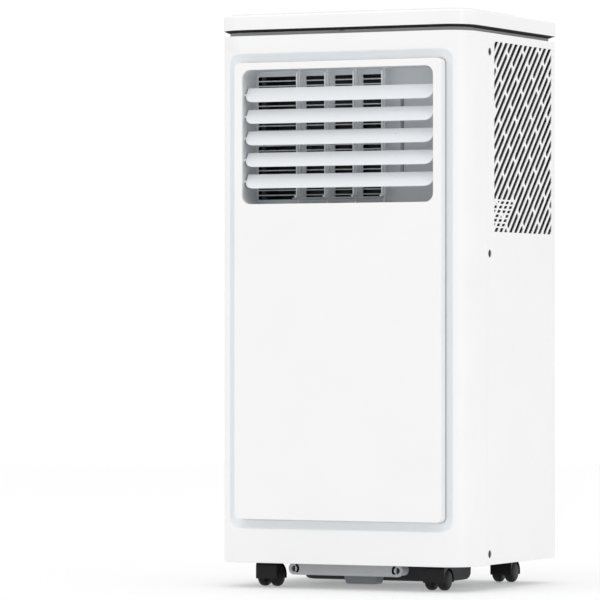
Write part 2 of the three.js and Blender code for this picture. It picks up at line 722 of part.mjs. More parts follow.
function makeConsole() {
  const y0 = FRONT + CONSOLE_INSET;
  const y1 = y0 + CONSOLE_DEPTH;
  const base = LID_TOP - WALL - 1;
  const buttonY = y0 + CONSOLE_DEPTH * 0.5;
  const slab = cut(
    prism(consoleOutline(0, y0, y1), "z", base, CONSOLE_TOP),
    prism(consoleOutline(-CONSOLE_WALL - 1, y0, y1), "z", base - 1, CONSOLE_TOP - CONSOLE_WALL),
  );
  const holes = [];
  for (let index = 0; index < BUTTON_COUNT; index++) {
    holes.push(rod("z", buttonX(index), buttonY, BUTTON_RADIUS + BUTTON_GAP, base, CONSOLE_TOP + 1, 20));
  }
  const halfW = DISPLAY_WIDTH / 2;
  const halfD = DISPLAY_DEPTH / 2;
  const glassWell = box(-halfW - FIT, halfW + FIT, buttonY - halfD - FIT, buttonY + halfD + FIT, base, FAR);
  place("control_console", cut(slab, glassWell, ...holes), "white");
  const corner = evenCorners(3);
  const glass = roundedRectangle(-halfW, halfW, buttonY - halfD, buttonY + halfD, corner);
  place("display_window", prism(glass, "z", CONSOLE_TOP - 3, CONSOLE_TOP - FIT), "black");
  for (let index = 0; index < BUTTON_COUNT; index++) {
    const top = CONSOLE_TOP + BUTTON_STAND;
    const key = join(
      rod("z", buttonX(index), buttonY, BUTTON_RADIUS, top - BUTTON_HEIGHT, top - 0.6, 20),
      rod("z", buttonX(index), buttonY, BUTTON_RADIUS, top - 0.7, top, 20, BUTTON_RADIUS - 0.6),
    );
    place(`button_${index + 1}`, key, "white");
  }
  const boardTop = CONSOLE_TOP + BUTTON_STAND - BUTTON_HEIGHT - BUTTON_TRAVEL - FIT;
  const reach = -buttonX(0) + BUTTON_RADIUS + 4;
  place("control_board", box(-reach, reach, buttonY - 22, buttonY + 22, boardTop - 2, boardTop), "tray");

  const lens = rod("y", 0, LID_BOTTOM + 1, RECEIVER_RADIUS, FRONT + 1.2, FRONT + 5, 20);
  const kept = lens.intersect(box(-FAR, FAR, -FAR, FAR, LID_BOTTOM - 3.4, LID_BOTTOM - FIT));
  const stalk = box(-3, 3, FRONT + 3, FRONT + NECK_INSET - FIT, LID_BOTTOM - 3, LID_BOTTOM - FIT);
  place("receiver_lens", join(kept, stalk), "black");
}

// ---- Underside ----

const RAIL_Y = FRONT + RAIL_SETBACK;
const CASTOR_X = SIDE - CASTOR_INSET_X;
const CASTOR_Y = BODY_DEPTH / 2 - CASTOR_INSET_Y;

function makeBase() {
  const inset = WALL + FIT;
  const floor = prism(planOutline(inset), "z", BOTTOM, BOTTOM + BASE_THICKNESS);
  const rim = cut(
    prism(planOutline(inset), "z", BOTTOM + 1, BOTTOM + BASE_RIM),
    prism(planOutline(inset + WALL), "z", BOTTOM, BOTTOM + BASE_RIM + 1),
  );
  const halfRail = RAIL_WIDTH / 2;
  const rail = box(-halfRail, halfRail, RAIL_Y, RAIL_Y + RAIL_DEPTH, BOTTOM - RAIL_DROP, BOTTOM + 1);
  const parts = [rim, rail];
  const bores = [];
  const bossZ = BOTTOM - BOSS_DROP;
  for (const sign of [-1, 1]) {
    const x = sign * BOSS_X;
    parts.push(rod("y", x, bossZ, BOSS_RADIUS, RAIL_Y, RAIL_Y + 2 * RAIL_DEPTH, 16));
    parts.push(box(x - 5, x + 5, RAIL_Y, RAIL_Y + 2 * RAIL_DEPTH, bossZ, BOTTOM + 1));
    bores.push(rod("y", x, bossZ, 2.6, RAIL_Y - 1, RAIL_Y + 8, 8));
    for (const end of [-1, 1]) {
      const y = end * CASTOR_Y;
      const x1 = sign * CASTOR_X;
      parts.push(rod("z", x1, y, CASTOR_STEM + 4, BOTTOM + 1, BOTTOM + 20, 10));
      bores.push(rod("z", x1, y, CASTOR_STEM + FIT, BOTTOM - 1, BOTTOM + 18, 12));
    }
  }
  const drainGap = rod("y", DRAIN_X, DRAIN_Z, DRAIN_RADIUS + 2 + FIT, BACK - 18, BACK, 24);
  place("base_pan", cut(join(floor, ...parts), ...bores, drainGap), "grey");

  const wellY = FRONT + WELL_SETBACK;
  const corner = evenCorners(10);
  const top = BOTTOM - FIT;
  const halfWell = WELL_WIDTH / 2;
  const well = roundedRectangle(-halfWell, halfWell, wellY, wellY + WELL_DEPTH, corner);
  place("condensate_tray", prism(well, "z", BOTTOM - WELL_DROP, top, 3), "tray");
  const halfSump = SUMP_WIDTH / 2;
  const sumpY = FRONT + SUMP_SETBACK;
  const sump = box(-halfSump, halfSump, sumpY, sumpY + SUMP_DEPTH, BOTTOM - SUMP_DROP, top);
  const port = rod("y", 0, BOTTOM - SUMP_DROP / 2 - 2, 5, sumpY - 1, sumpY + 10, 16);
  place("bottom_drain", cut(sump, port), "grey");
}

// A twin-wheel castor: hood on a stem, and two wheels pressed on one axle.
function makeCastors() {
  const halfWidth = CASTOR_WIDTH / 2;
  const axleZ = WHEEL_RADIUS;
  const top = FLOOR_GAP - 1;
  const halfWeb = CASTOR_WEB / 2;
  for (const [endName, end] of [["front", -1], ["rear", 1]]) {
    for (const [sideName, sign] of [["left", -1], ["right", 1]]) {
      const x = sign * CASTOR_X;
      const y = end * CASTOR_Y;
      const axleY = y + CASTOR_TRAIL;
      const wheelOuter = halfWidth - 1;
      const dome = rod("x", axleY, axleZ, CASTOR_HOOD, x - halfWidth, x + halfWidth, 20);
      const crown = box(x - 9, x + 9, y - 9, axleY + 4, axleZ + 4, top);
      const cavity = join(
        rod("x", axleY, axleZ, WHEEL_RADIUS + 0.6, x - halfWidth - 1, x - halfWeb, 20),
        rod("x", axleY, axleZ, WHEEL_RADIUS + 0.6, x + halfWeb, x + halfWidth + 1, 20),
      );
      const hood = cut(
        join(dome, crown),
        cavity,
        box(x - FAR, x + FAR, -FAR, FAR, -FAR, axleZ - 3),
        rod("x", axleY, axleZ, AXLE_RADIUS + PIN_CLEARANCE, x - halfWeb - 1, x + halfWeb + 1, 8),
      );
      const stem = rod("z", x, y, CASTOR_STEM, top - STEM_ROOT, BOTTOM + 17, 12);
      const web = box(x - halfWeb, x + halfWeb, y - 6, axleY + 8, axleZ - 6, axleZ + 8);
      const axleHole = rod("x", axleY, axleZ, AXLE_RADIUS + PIN_CLEARANCE, x - 9, x + 9, 8);
      place(`castor_hood_${endName}_${sideName}`, cut(join(hood, stem, web), axleHole), "charcoal");

      const wheels = [];
      for (const face of [-1, 1]) {
        const near = x + face * (halfWeb + 0.8);
        const far = x + face * Math.min(halfWeb + 0.8 + WHEEL_WIDTH, wheelOuter);
        wheels.push(rod("x", axleY, axleZ, WHEEL_RADIUS, Math.min(near, far), Math.max(near, far), 20));
      }
      const axle = rod("x", axleY, axleZ, AXLE_RADIUS, x - halfWeb - 4, x + halfWeb + 4, 8);
      place(`castor_wheels_${endName}_${sideName}`, join(axle, ...wheels), "tyre");
    }
  }
}

// ---- Works inside ----

const ROOM = SIDE - WALL - 8; // half width clear of the filter frames

function makeDeck() {
  const inset = WALL + FIT;
  const front = CHANNEL_FLOOR + WALL + FIT;
  const room = box(-FAR, FAR, front, FAR, -FAR, FAR);
  const plate = prism(planOutline(inset + 6), "z", DECK_TOP - DECK_THICKNESS, DECK_TOP);
  const rim = cut(
    prism(planOutline(inset + 6), "z", DECK_TOP - 1, DECK_TOP + DECK_RIM),
    prism(planOutline(inset + 6 + WALL), "z", DECK_TOP - 2, DECK_TOP + DECK_RIM + 1),
  );
  const lipHalf = SIDE - 1.5 * FRONT_CORNER;
  const lip = box(-lipHalf, lipHalf, front, front + WALL, DECK_TOP - 1, DECK_TOP + DECK_RIM);
  place("drip_deck", join(plate, rim, lip).intersect(room), "duct");
}

// The evaporator bends round three sides of the upper fan.
function makeEvaporator() {
  const back = BACK - CASSETTE_DEPTH - COIL_GAP;
  const outerX = ROOM - 10;
  const innerX = outerX - COIL_THICKNESS;
  const y0 = GRILLE_Y0;
  const z0 = DECK_TOP + 3;
  const z1 = TOP - 14;
  const corner = COIL_THICKNESS + 8;
  const outer = roundedRectangle(-outerX, outerX, y0, back, [0.5, 0.5, corner, corner]);
  const inner = roundedRectangle(-innerX, innerX, y0 - 1, back - COIL_THICKNESS, [0.5, 0.5, 8, 8]);
  place("evaporator", cut(prism(outer, "z", z0, z1, 4), prism(inner, "z", z0 - 1, z1 + 1, 4)), "fins");
}

function makeCondenser() {
  const y1 = INNER_BACK - COIL_GAP;
  const half = INTAKE_WIDTH / 2 + 8;
  const z0 = BOTTOM + INTAKE_FOOT - 8;
  const z1 = z0 + INTAKE_HEIGHT + 16;
  const coil = box(-half, half, y1 - COIL_THICKNESS, y1, z0, z1);
  const plates = [-1, 1].map((sign) => {
    const x = sign * half;
    return box(x - 1, x + 1, y1 - COIL_THICKNESS - 3, y1 + 3, z0 - 3, z1 + 3);
  });
  place("condenser", join(coil, ...plates), "fins");
}

// A drum fan about the Y axis: back plate, hub, shaft, a ring of blades and a rim ring.
function fanWheel(shaftFrom, shaftTo) {
  const blades = [];
  for (let index = 0; index < FAN_BLADES; index++) {
    const blade = new THREE.BoxGeometry(9, FAN_DEPTH - 2, 1.6);
    blade.rotateY(0.5).translate(FAN_RADIUS - 5.5, FAN_DEPTH / 2, 0);
    blades.push(solid(blade.rotateY((index * 2 * Math.PI) / FAN_BLADES)));
  }
  const rim = cut(
    rod("y", 0, 0, FAN_RADIUS, FAN_DEPTH - 3, FAN_DEPTH, 36),
    rod("y", 0, 0, FAN_RADIUS - 10, FAN_DEPTH - 4, FAN_DEPTH + 1, 36),
  );
  return join(
    rod("y", 0, 0, FAN_RADIUS, 0, 2, 36),
    rod("y", 0, 0, 13, 0, 18, 16),
    rod("y", 0, 0, SHAFT_RADIUS, shaftFrom, shaftTo, 12),
    rim,
    ...blades,
  );
}

// A motor about the Y axis with a blind bore for the shaft at one end and a three-arm bracket.
function motor(shaftAtBack, bracketAt) {
  const arms = [0, 1, 2].map((index) => {
    const arm = new THREE.BoxGeometry(FAN_RADIUS, 3, 9);
    arm.translate(FAN_RADIUS / 2, bracketAt, 0);
    return solid(arm.rotateY(Math.PI / 6 + (index * 2 * Math.PI) / 3));
  });
  const bore = shaftAtBack ? [MOTOR_LENGTH - 20, MOTOR_LENGTH + 5] : [-5, 20];
  return cut(
    join(rod("y", 0, 0, MOTOR_RADIUS, 0, MOTOR_LENGTH, 28), ...arms),
    rod("y", 0, 0, SHAFT_RADIUS + FIT, ...bore, 12),
  );
}

// Upper air path: case behind the duct, wheel inside, motor in its inlet.
function makeUpperFan() {
  const y0 = DUCT_BACK + FIT;
  const y1 = y0 + FAN_DEPTH + FAN_CASE_ROOM;
  const z0 = DECK_TOP + FIT;
  const z1 = OUTLET_TOP + DUCT_WALL;
  const half = OUTLET_HALF - 5;
  const t = VOLUTE_WALL;
  const centre = z0 + t + FAN_RADIUS + 8;
  const shell = cut(
    box(-half, half, y0, y1, z0, z1),
    box(-half + t, half - t, y0 + t, y1 - t, z0 + t, z1 - t),
    box(-half + 6, half - 6, y0 - 1, y0 + 4, OUTLET_BOTTOM + 4, OUTLET_TOP - 4),
    rod("y", 0, centre, FAN_RADIUS - 8, y1 - 4, y1 + 1, 32),
  );
  place("upper_fan_case", shell, "tray");
  const wheelY = y0 + FAN_CASE_ROOM / 2;
  const motorY = y1 + FIT + 2.5;
  place("upper_fan_wheel", fanWheel(0, motorY - wheelY + 16), "charcoal", [0, wheelY, centre]);
  place("upper_fan_motor", motor(false, -1), "zinc", [0, motorY, centre]);
}

// Lower air path: condenser, wheel and an exhaust chamber that ends at the collar.
function makeLowerFan() {
  const chamberBack = INNER_BACK - FIT;
  const condenserFront = INNER_BACK - COIL_GAP - COIL_THICKNESS;
  const y1 = condenserFront - 6;
  const y0 = y1 - FAN_DEPTH - FAN_CASE_ROOM;
  const half = Math.max(COLLAR_RADIUS + CHAMBER_MARGIN, FAN_RADIUS + FAN_SIDE_ROOM);
  const x0 = COLLAR_X - half;
  const x1 = COLLAR_X + half;
  const centre = BOTTOM + INTAKE_FOOT + INTAKE_HEIGHT / 2;
  const z0 = centre - FAN_RADIUS - 10;
  const chamberZ = BOTTOM + INTAKE_FOOT + INTAKE_HEIGHT + 14;
  const z1 = COLLAR_Z + COLLAR_RADIUS + CHAMBER_MARGIN;
  const t = VOLUTE_WALL;
  const shell = cut(
    join(box(x0, x1, y0, y1, z0, z1), box(x0, x1, y0, chamberBack, chamberZ, z1)),
    box(x0 + t, x1 - t, y0 + t, y1 - t, z0 + t, z1 - t),
    box(x0 + t, x1 - t, y0 + t, chamberBack - t, chamberZ + t, z1 - t),
    rod("y", COLLAR_X, centre, FAN_RADIUS - 8, y1 - 4, y1 + 1, 32),
    rod("y", COLLAR_X, centre, SHAFT_RADIUS + 2, y0 - 1, y0 + 4, 16),
    rod("y", COLLAR_X, COLLAR_Z, COLLAR_RADIUS - 8, chamberBack - 4, chamberBack + 1, 32),
  );
  place("lower_fan_case", shell, "tray");
  const wheelY = y0 + FAN_CASE_ROOM / 2;
  const motorY = y0 - FIT - MOTOR_LENGTH;
  const shaftFrom = motorY + MOTOR_LENGTH - 16 - wheelY;
  place("lower_fan_wheel", fanWheel(shaftFrom, 4), "charcoal", [COLLAR_X, wheelY, centre]);
  place("lower_fan_motor", motor(true, MOTOR_LENGTH - 1.5), "zinc", [COLLAR_X, motorY, centre]);
}

function makeCompressor() {
  const floor = BOTTOM + BASE_THICKNESS + FIT;
  const top = floor + COMPRESSOR_HEIGHT;
  const profile = [
    [0, 0],
    [COMPRESSOR_RADIUS - 12, 0],
    [COMPRESSOR_RADIUS, 12],
    [COMPRESSOR_RADIUS, COMPRESSOR_HEIGHT - 20],
    [COMPRESSOR_RADIUS - 8, COMPRESSOR_HEIGHT - 7],
    [COMPRESSOR_RADIUS - 22, COMPRESSOR_HEIGHT],
    [0, COMPRESSOR_HEIGHT],
  ];
  const points = profile.map(([radius, height]) => new THREE.Vector2(radius, height));
  const can = new THREE.LatheGeometry(points, 32).rotateX(Math.PI / 2);
  const feet = box(-COMPRESSOR_RADIUS - 4, COMPRESSOR_RADIUS + 4, -12, 12, 0, 3);
  place("compressor", join(solid(can), feet), "tray", [COMPRESSOR_X, COMPRESSOR_Y, floor]);

  const shoulder = ACCUMULATOR_RADIUS - 5;
  const tankTop = ACCUMULATOR_HEIGHT;
  const tank = join(
    rod("z", 0, 0, ACCUMULATOR_RADIUS, 6, tankTop - 6, 20),
    rod("z", 0, 0, shoulder, 0, 7, 20, ACCUMULATOR_RADIUS),
    rod("z", 0, 0, ACCUMULATOR_RADIUS, tankTop - 7, tankTop, 20, shoulder),
    rod("z", 0, 0, PIPE_RADIUS, tankTop - 2, tankTop + 22, 10),
  );
  const tankX = COMPRESSOR_X - COMPRESSOR_RADIUS - ACCUMULATOR_RADIUS - 6;
  place("accumulator", tank, "tray", [tankX, COMPRESSOR_Y, floor + 22]);

  const condenserTop = BOTTOM + INTAKE_FOOT + INTAKE_HEIGHT + 8;
  const condenserY = INNER_BACK - COIL_GAP - COIL_THICKNESS / 2;
  const rise = condenserTop + 40;
  const route = new THREE.CatmullRomCurve3([
    new THREE.Vector3(COMPRESSOR_X, COMPRESSOR_Y, top + FIT),
    new THREE.Vector3(COMPRESSOR_X, COMPRESSOR_Y, top + 22),
    new THREE.Vector3(COMPRESSOR_X, COMPRESSOR_Y + 30, rise),
    new THREE.Vector3(COMPRESSOR_X, condenserY - 30, rise),
    new THREE.Vector3(COMPRESSOR_X, condenserY, condenserTop + 20),
    new THREE.Vector3(COMPRESSOR_X, condenserY, condenserTop + FIT + 1),
  ]);
  const ring = new THREE.Shape();
  for (let side = 0; side < 8; side++) {
    const turn = (side * Math.PI) / 4;
    const u = PIPE_RADIUS * Math.cos(turn);
    const v = PIPE_RADIUS * Math.sin(turn);
    if (side) ring.lineTo(u, v);
    else ring.moveTo(u, v);
  }
  const pipe = new THREE.ExtrudeGeometry(ring, { extrudePath: route, steps: 16, bevelEnabled: false });
  place("discharge_pipe", solid(pipe), "copper");
}

// Power box with the relay board and capacitors, behind the lower front.
function makePowerBox() {
  const y0 = CHANNEL_FLOOR + WALL + 10;
  const z1 = DECK_TOP - DECK_THICKNESS - 16;
  const lid = box(-132, -26, y0, y0 + 42, z1 - 120, z1);
  const ribs = [0, 1, 2].map((index) => {
    const z = z1 - 40 - index * 26;
    return box(-120, -38, y0 - 2, y0 + 1, z, z + 6);
  });
  place("power_box", join(lid, ...ribs), "zinc");
}

makeFrontShell();
makeSidePanels(slantedSlots());
makeSideFilters();
makeRearPanel();
makeFilterCassette();
makeExhaustCollar();
makeDrainAndGland();
makeOutletPanel();
makeDuct();
makeLouvres();
makeLouvreLink();
makeVanes();
makeNeckAndLid();
makeConsole();
makeBase();
makeCastors();
makeDeck();
makeEvaporator();
makeCondenser();
makeUpperFan();
makeLowerFan();
makeCompressor();
makePowerBox();

export default unit;
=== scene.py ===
"""Portable air conditioner: moulded skins, finishes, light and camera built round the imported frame.

Sizes are in millimetres until a vertex is written, which is then in metres in the frame's own axes:
+Z up, the floor at zero, the louvres facing -Y and +X on the right seen from the front.
"""

from __future__ import annotations

import logging
import math
from dataclasses import dataclass, field
from enum import Enum
from typing import Any, Callable, Sequence

import bmesh
import bpy
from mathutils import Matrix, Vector
from mathutils.geometry import delaunay_2d_cdt, tessellate_polygon


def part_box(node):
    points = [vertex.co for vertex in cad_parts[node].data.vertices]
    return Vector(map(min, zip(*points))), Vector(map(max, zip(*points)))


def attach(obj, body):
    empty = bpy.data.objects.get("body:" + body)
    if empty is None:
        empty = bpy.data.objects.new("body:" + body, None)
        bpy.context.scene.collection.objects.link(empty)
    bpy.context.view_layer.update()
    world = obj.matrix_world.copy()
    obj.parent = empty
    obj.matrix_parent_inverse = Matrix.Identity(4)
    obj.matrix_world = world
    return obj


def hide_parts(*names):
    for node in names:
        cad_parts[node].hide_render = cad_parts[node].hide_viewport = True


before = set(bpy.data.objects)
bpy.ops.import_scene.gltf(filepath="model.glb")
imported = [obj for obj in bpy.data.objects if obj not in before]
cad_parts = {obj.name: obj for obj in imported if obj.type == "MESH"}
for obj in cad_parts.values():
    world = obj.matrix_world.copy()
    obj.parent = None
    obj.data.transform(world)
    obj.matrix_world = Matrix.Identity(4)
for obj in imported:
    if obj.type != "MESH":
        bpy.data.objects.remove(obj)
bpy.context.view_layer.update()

MM = 0.001
LOG = logging.getLogger("air_conditioner")

Point = tuple[float, float]
Outline = list[Point]
Placer = Callable[[float, float, float], Vector]


class Side(Enum):
    """Which side of the cabinet, with the sign of its x."""

    LEFT = -1
    RIGHT = 1

    def place(self, y: float, z: float, out: float) -> Vector:
        """Places a point at a distance out to this side."""
        return Vector((self.value * out, y, z))


class Axis(Enum):
    """The axis that an outline is drawn square to, with its placing of (u, v, height)."""

    X = "x"
    Y = "y"
    Z = "z"

    def place(self, u: float, v: float, height: float) -> Vector:
        """Places an outline's point at a height along the axis.

        Args:
            u: the outline's first coordinate: x for Y and Z, y for X.
            v: the outline's second coordinate: y for Z, z for X and Y.
            height: the place along the axis.

        Returns:
            The point in millimetres.
        """
        if self is Axis.X:
            return Vector((height, u, v))
        if self is Axis.Y:
            return Vector((u, height, v))
        return Vector((u, v, height))


# ---------------------------------------------------------------------------
# Finishes
# ---------------------------------------------------------------------------


def linear(hex_colour: str) -> tuple[float, float, float, float]:
    """Turns an sRGB hex colour into Blender's linear colour.

    Args:
        hex_colour: six hex digits with a leading #.

    Returns:
        Red, green, blue and an alpha of 1.
    """
    channels = [int(hex_colour[start : start + 2], 16) / 255 for start in (1, 3, 5)]
    lit = [c / 12.92 if c <= 0.04045 else ((c + 0.055) / 1.055) ** 2.4 for c in channels]
    return (lit[0], lit[1], lit[2], 1.0)


def add_node(
    tree: bpy.types.NodeTree,
    kind: str,
    inputs: dict[Any, Any] | None = None,
    **settings: Any,
) -> bpy.types.Node:
    """Adds a node with its settings and links.

    Args:
        tree: the node tree.
        kind: the node's type name.
        inputs: for each input, by name or number, a value or the socket it is linked from.
        **settings: the node's own properties.

    Returns:
        The new node.
    """
    node = tree.nodes.new(kind)
    for key, value in settings.items():
        setattr(node, key, value)
    for key, value in (inputs or {}).items():
        if isinstance(value, bpy.types.NodeSocket):
            tree.links.new(value, node.inputs[key])
        else:
            node.inputs[key].default_value = value
    return node


@dataclass(frozen=True)
class Finish:
    """A surface that starts as an empty shader tree with object coordinates in metres."""

    name: str
    hex_colour: str
    roughness: float

    def start(self) -> tuple[bpy.types.Material, bpy.types.NodeTree, bpy.types.NodeSocket]:
        """Makes the material with an empty tree.

        Returns:
            The material, its tree, and the socket that gives object coordinates.
        """
        material = bpy.data.materials.new(self.name)
        material.use_nodes = True
        material.diffuse_color = linear(self.hex_colour)
        tree = material.node_tree
        tree.nodes.clear()
        place = add_node(tree, "ShaderNodeTexCoord").outputs["Object"]
        return material, tree, place

    def close(self, tree: bpy.types.NodeTree, **inputs: Any) -> None:
        """Ends the tree in a principled shader.

        Args:
            tree: the node tree.
            **inputs: the shader's inputs, their names written with _ for each space.
        """
        named = {name.replace("_", " "): value for name, value in inputs.items()}
        shader = add_node(tree, "ShaderNodeBsdfPrincipled", named)
        add_node(tree, "ShaderNodeOutputMaterial", {"Surface": shader.outputs[0]})

    def toned(
        self,
        tree: bpy.types.NodeTree,
        share: bpy.types.NodeSocket,
        dim: float,
    ) -> bpy.types.NodeSocket:
        """The finish's colour, dimmed to a fraction where the share is 0.

        Args:
            tree: the node tree.
            share: how much of the full colour shows.
            dim: the fraction.

        Returns:
            The socket that gives the colour.
        """
        base = linear(self.hex_colour)
        dark = (*(c * dim for c in base[:3]), 1.0)
        blend = {"Factor": share, "A": dark, "B": base}
        return add_node(tree, "ShaderNodeMix", blend, data_type="RGBA").outputs["Result"]

    def varied(
        self,
        tree: bpy.types.NodeTree,
        place: bpy.types.NodeSocket,
        size_mm: float,
        low: float,
        high: float,
    ) -> bpy.types.NodeSocket:
        """A soft noise between two values.

        Args:
            tree: the node tree.
            place: the coordinates.
            size_mm: how wide one patch of the noise is.
            low: the lowest value.
            high: the highest value.

        Returns:
            The socket that gives the value.
        """
        cloud = {"Vector": place, "Scale": 1 / (size_mm * MM), "Detail": 3.0, "Roughness": 0.55}
        noise = add_node(tree, "ShaderNodeTexNoise", cloud)
        cloudiness = noise.outputs["Fac"]
        spread = {"Value": cloudiness, "From Min": 0.3, "From Max": 0.7, "To Min": low, "To Max": high}
        return add_node(tree, "ShaderNodeMapRange", spread).outputs["Result"]


@dataclass(frozen=True)
class MouldedPlastic(Finish):
    """Injection-moulded plastic with the fine texture that its steel mould was etched with.

    The etched grain scatters highlights a little, the gloss wanders where the melt cooled at
    different rates, and the colour drifts by a hair over a hand's width.
    """

    ior: float = 1.53
    drift: float = 0.01
    drift_mm: float = 90.0
    gloss_mm: float = 35.0
    sink_mm: float = 60.0
    sink_depth_mm: float = 0.08
    grain_mm: float = 0.9
    relief_mm: float = 0.012
    coat: float = 0.0

    def build(self) -> bpy.types.Material:
        """Builds the material."""
        material, tree, place = self.start()
        tone = self.toned(tree, self.varied(tree, place, self.drift_mm, 0.0, 1.0), 1 - 2 * self.drift)
        gloss = self.varied(tree, place, self.gloss_mm, self.roughness * 0.9, self.roughness * 1.12)
        normal = None
        for size, detail, depth, strength in (
            (self.sink_mm, 1.0, self.sink_depth_mm, 0.5),
            (self.grain_mm, 2.0, self.relief_mm, 0.8),
        ):
            cloud = {"Vector": place, "Scale": 1 / (size * MM), "Detail": detail}
            noise = add_node(tree, "ShaderNodeTexNoise", cloud)
            raised = {"Height": noise.outputs["Fac"], "Distance": depth * MM, "Strength": strength}
            if normal is not None:
                raised["Normal"] = normal
            normal = add_node(tree, "ShaderNodeBump", raised).outputs["Normal"]
        self.close(
            tree,
            Base_Color=tone,
            Roughness=gloss,
            IOR=self.ior,
            Coat_Weight=self.coat,
            Coat_Roughness=0.12,
            Normal=normal,
        )
        return material


@dataclass(frozen=True)
class BrushedMetal(Finish):
    """Rolled or drawn metal: fine lines along one axis stretch its highlights."""

    along: tuple[float, float, float] = (1.0, 1.0, 0.04)
    line_mm: float = 0.5
    relief_mm: float = 0.01
    gloss_mm: float = 12.0

    def build(self) -> bpy.types.Material:
        """Builds the material."""
        material, tree, place = self.start()
        scale = Vector(self.along) / (self.line_mm * MM)
        stretched = add_node(tree, "ShaderNodeMapping", {"Vector": place, "Scale": scale}).outputs["Vector"]
        grain = {"Vector": stretched, "Scale": 1.0, "Detail": 2.0}
        lines = add_node(tree, "ShaderNodeTexNoise", grain).outputs["Fac"]
        tone = self.toned(tree, lines, 0.8)
        gloss = self.varied(tree, place, self.gloss_mm, self.roughness * 0.8, self.roughness * 1.25)
        raised = {"Height": lines, "Distance": self.relief_mm * MM, "Strength": 0.6}
        normal = add_node(tree, "ShaderNodeBump", raised).outputs["Normal"]
        self.close(tree, Base_Color=tone, Metallic=1.0, Roughness=gloss, Normal=normal)
        return material


@dataclass(frozen=True)
class WovenMesh(Finish):
    """Nylon filter net: threads crossing at a real spacing, drawn a little coarse so that it shows."""

    thread_mm: float = 1.6
    relief_mm: float = 0.3
    ior: float = 1.53

    def build(self) -> bpy.types.Material:
        """Builds the material."""
        material, tree, place = self.start()
        axes = add_node(tree, "ShaderNodeSeparateXYZ", {"Vector": place})
        waves = []
        for axis in ("Y", "Z"):
            crossings = {0: axes.outputs[axis], 1: 2 * math.pi / (self.thread_mm * MM)}
            turns = add_node(tree, "ShaderNodeMath", crossings, operation="MULTIPLY").outputs[0]
            waves.append(add_node(tree, "ShaderNodeMath", {0: turns}, operation="SINE").outputs[0])
        weave = add_node(tree, "ShaderNodeMath", {0: waves[0], 1: waves[1]}, operation="MAXIMUM").outputs[0]
        depth = {"Value": weave, "From Min": -0.2, "From Max": 0.9, "To Min": 0.0, "To Max": 1.0}
        thread = add_node(tree, "ShaderNodeMapRange", depth).outputs["Result"]
        tone = self.toned(tree, thread, 0.25)
        raised = {"Height": thread, "Distance": self.relief_mm * MM, "Strength": 0.7}
        normal = add_node(tree, "ShaderNodeBump", raised).outputs["Normal"]
        self.close(tree, Base_Color=tone, Roughness=self.roughness, IOR=self.ior, Normal=normal)
        return material


@dataclass(frozen=True)
class LitSurface(Finish):
    """A surface lit evenly from behind, such as a display segment or a light table."""

    strength: float = 1.6
    flicker_mm: float = 2.0

    def build(self) -> bpy.types.Material:
        """Builds the material."""
        material, tree, place = self.start()
        tone = self.toned(tree, self.varied(tree, place, self.flicker_mm, 0.9, 1.0), 0.97)
        self.close(
            tree,
            Base_Color=tone,
            Emission_Color=tone,
            Emission_Strength=self.strength,
            Roughness=self.roughness,
        )
        return material


# White ABS, spark-eroded satin: a clean body colour under a soft broad highlight.
WHITE_ABS = MouldedPlastic("white_abs_satin_moulded", "#F4F4F4", 0.34)
# The lid is moulded in a polished tool, so its highlights are tighter.
LID_ABS = MouldedPlastic("white_abs_polished_moulded", "#F4F4F4", 0.22, relief_mm=0.004)
# The channel round the panel takes a slightly darker white: painted shade for the recess. Its etch is also
# duller than the face.
CHANNEL_PAINTED_SHADE = MouldedPlastic("white_abs_channel_painted_shade", "#F0F2F4", 0.55, grain_mm=1.2)
# Louvres and duct: the same resin with a finer, duller grain.
LOUVRE_ABS = MouldedPlastic("white_abs_fine_grain_moulded", "#E9ECEF", 0.4)
DUCT_ABS = MouldedPlastic("pale_grey_abs_moulded", "#D3D7DA", 0.5, grain_mm=1.4)
# Charcoal nylon: dark, a little blue, with a dull sheen on its rounded edges.
CHARCOAL_NYLON = MouldedPlastic("charcoal_nylon_moulded", "#0C0D0F", 0.4, ior=1.36, drift=0.08)
WHEEL_TYRE = MouldedPlastic("black_polyurethane_tyre", "#0A0B0C", 0.45, ior=1.36, drift=0.1, grain_mm=1.2)
# Neck band: matt grey, a painted shade for the gap under the lid; the black underside overhangs it.
NECK_PAINTED_SHADE = MouldedPlastic("neck_grey_painted_shade_matt", "#A4A5A7", 0.6, drift=0.06)
# Black under the lid's overhang: painted shade for the dark gap above the neck.
LID_UNDERSIDE_PAINTED_SHADE = MouldedPlastic("black_painted_shade_matt", "#0B0B0C", 0.7, drift=0.06)
GREY_PP = MouldedPlastic("mid_grey_polypropylene_moulded", "#8B9095", 0.5, ior=1.49, drift=0.05)
PALE_PP = MouldedPlastic("pale_grey_polypropylene_moulded", "#B0B2B5", 0.45, ior=1.49, drift=0.04)
DARK_PP = MouldedPlastic("dark_grey_polypropylene_moulded", "#2C2E32", 0.55, ior=1.49, drift=0.08)
SMOKED_ACRYLIC = MouldedPlastic("smoked_acrylic_polished", "#08090B", 0.06, ior=1.49, relief_mm=0.0, coat=0.4)
SIGN_PRINT = MouldedPlastic("grey_pad_printed_ink", "#6E747A", 0.5, ior=1.5, grain_mm=0.5)
BLACK_RUBBER = MouldedPlastic("black_rubber_moulded", "#1B1C1E", 0.7, ior=1.52, drift=0.1)
ZINC_STEEL = BrushedMetal("zinc_plated_steel_rolled", "#B4B8BB", 0.38)
SCREW_STEEL = BrushedMetal("black_oxide_screw_steel", "#4A4C50", 0.42, along=(1.0, 1.0, 1.0), line_mm=0.8)
COPPER = BrushedMetal("copper_tube_drawn", "#C47C52", 0.3, along=(1.0, 0.1, 1.0))
FIN_ALUMINIUM = BrushedMetal("aluminium_fin_stock_rolled", "#C9CDD0", 0.35, along=(1.0, 1.0, 0.1))
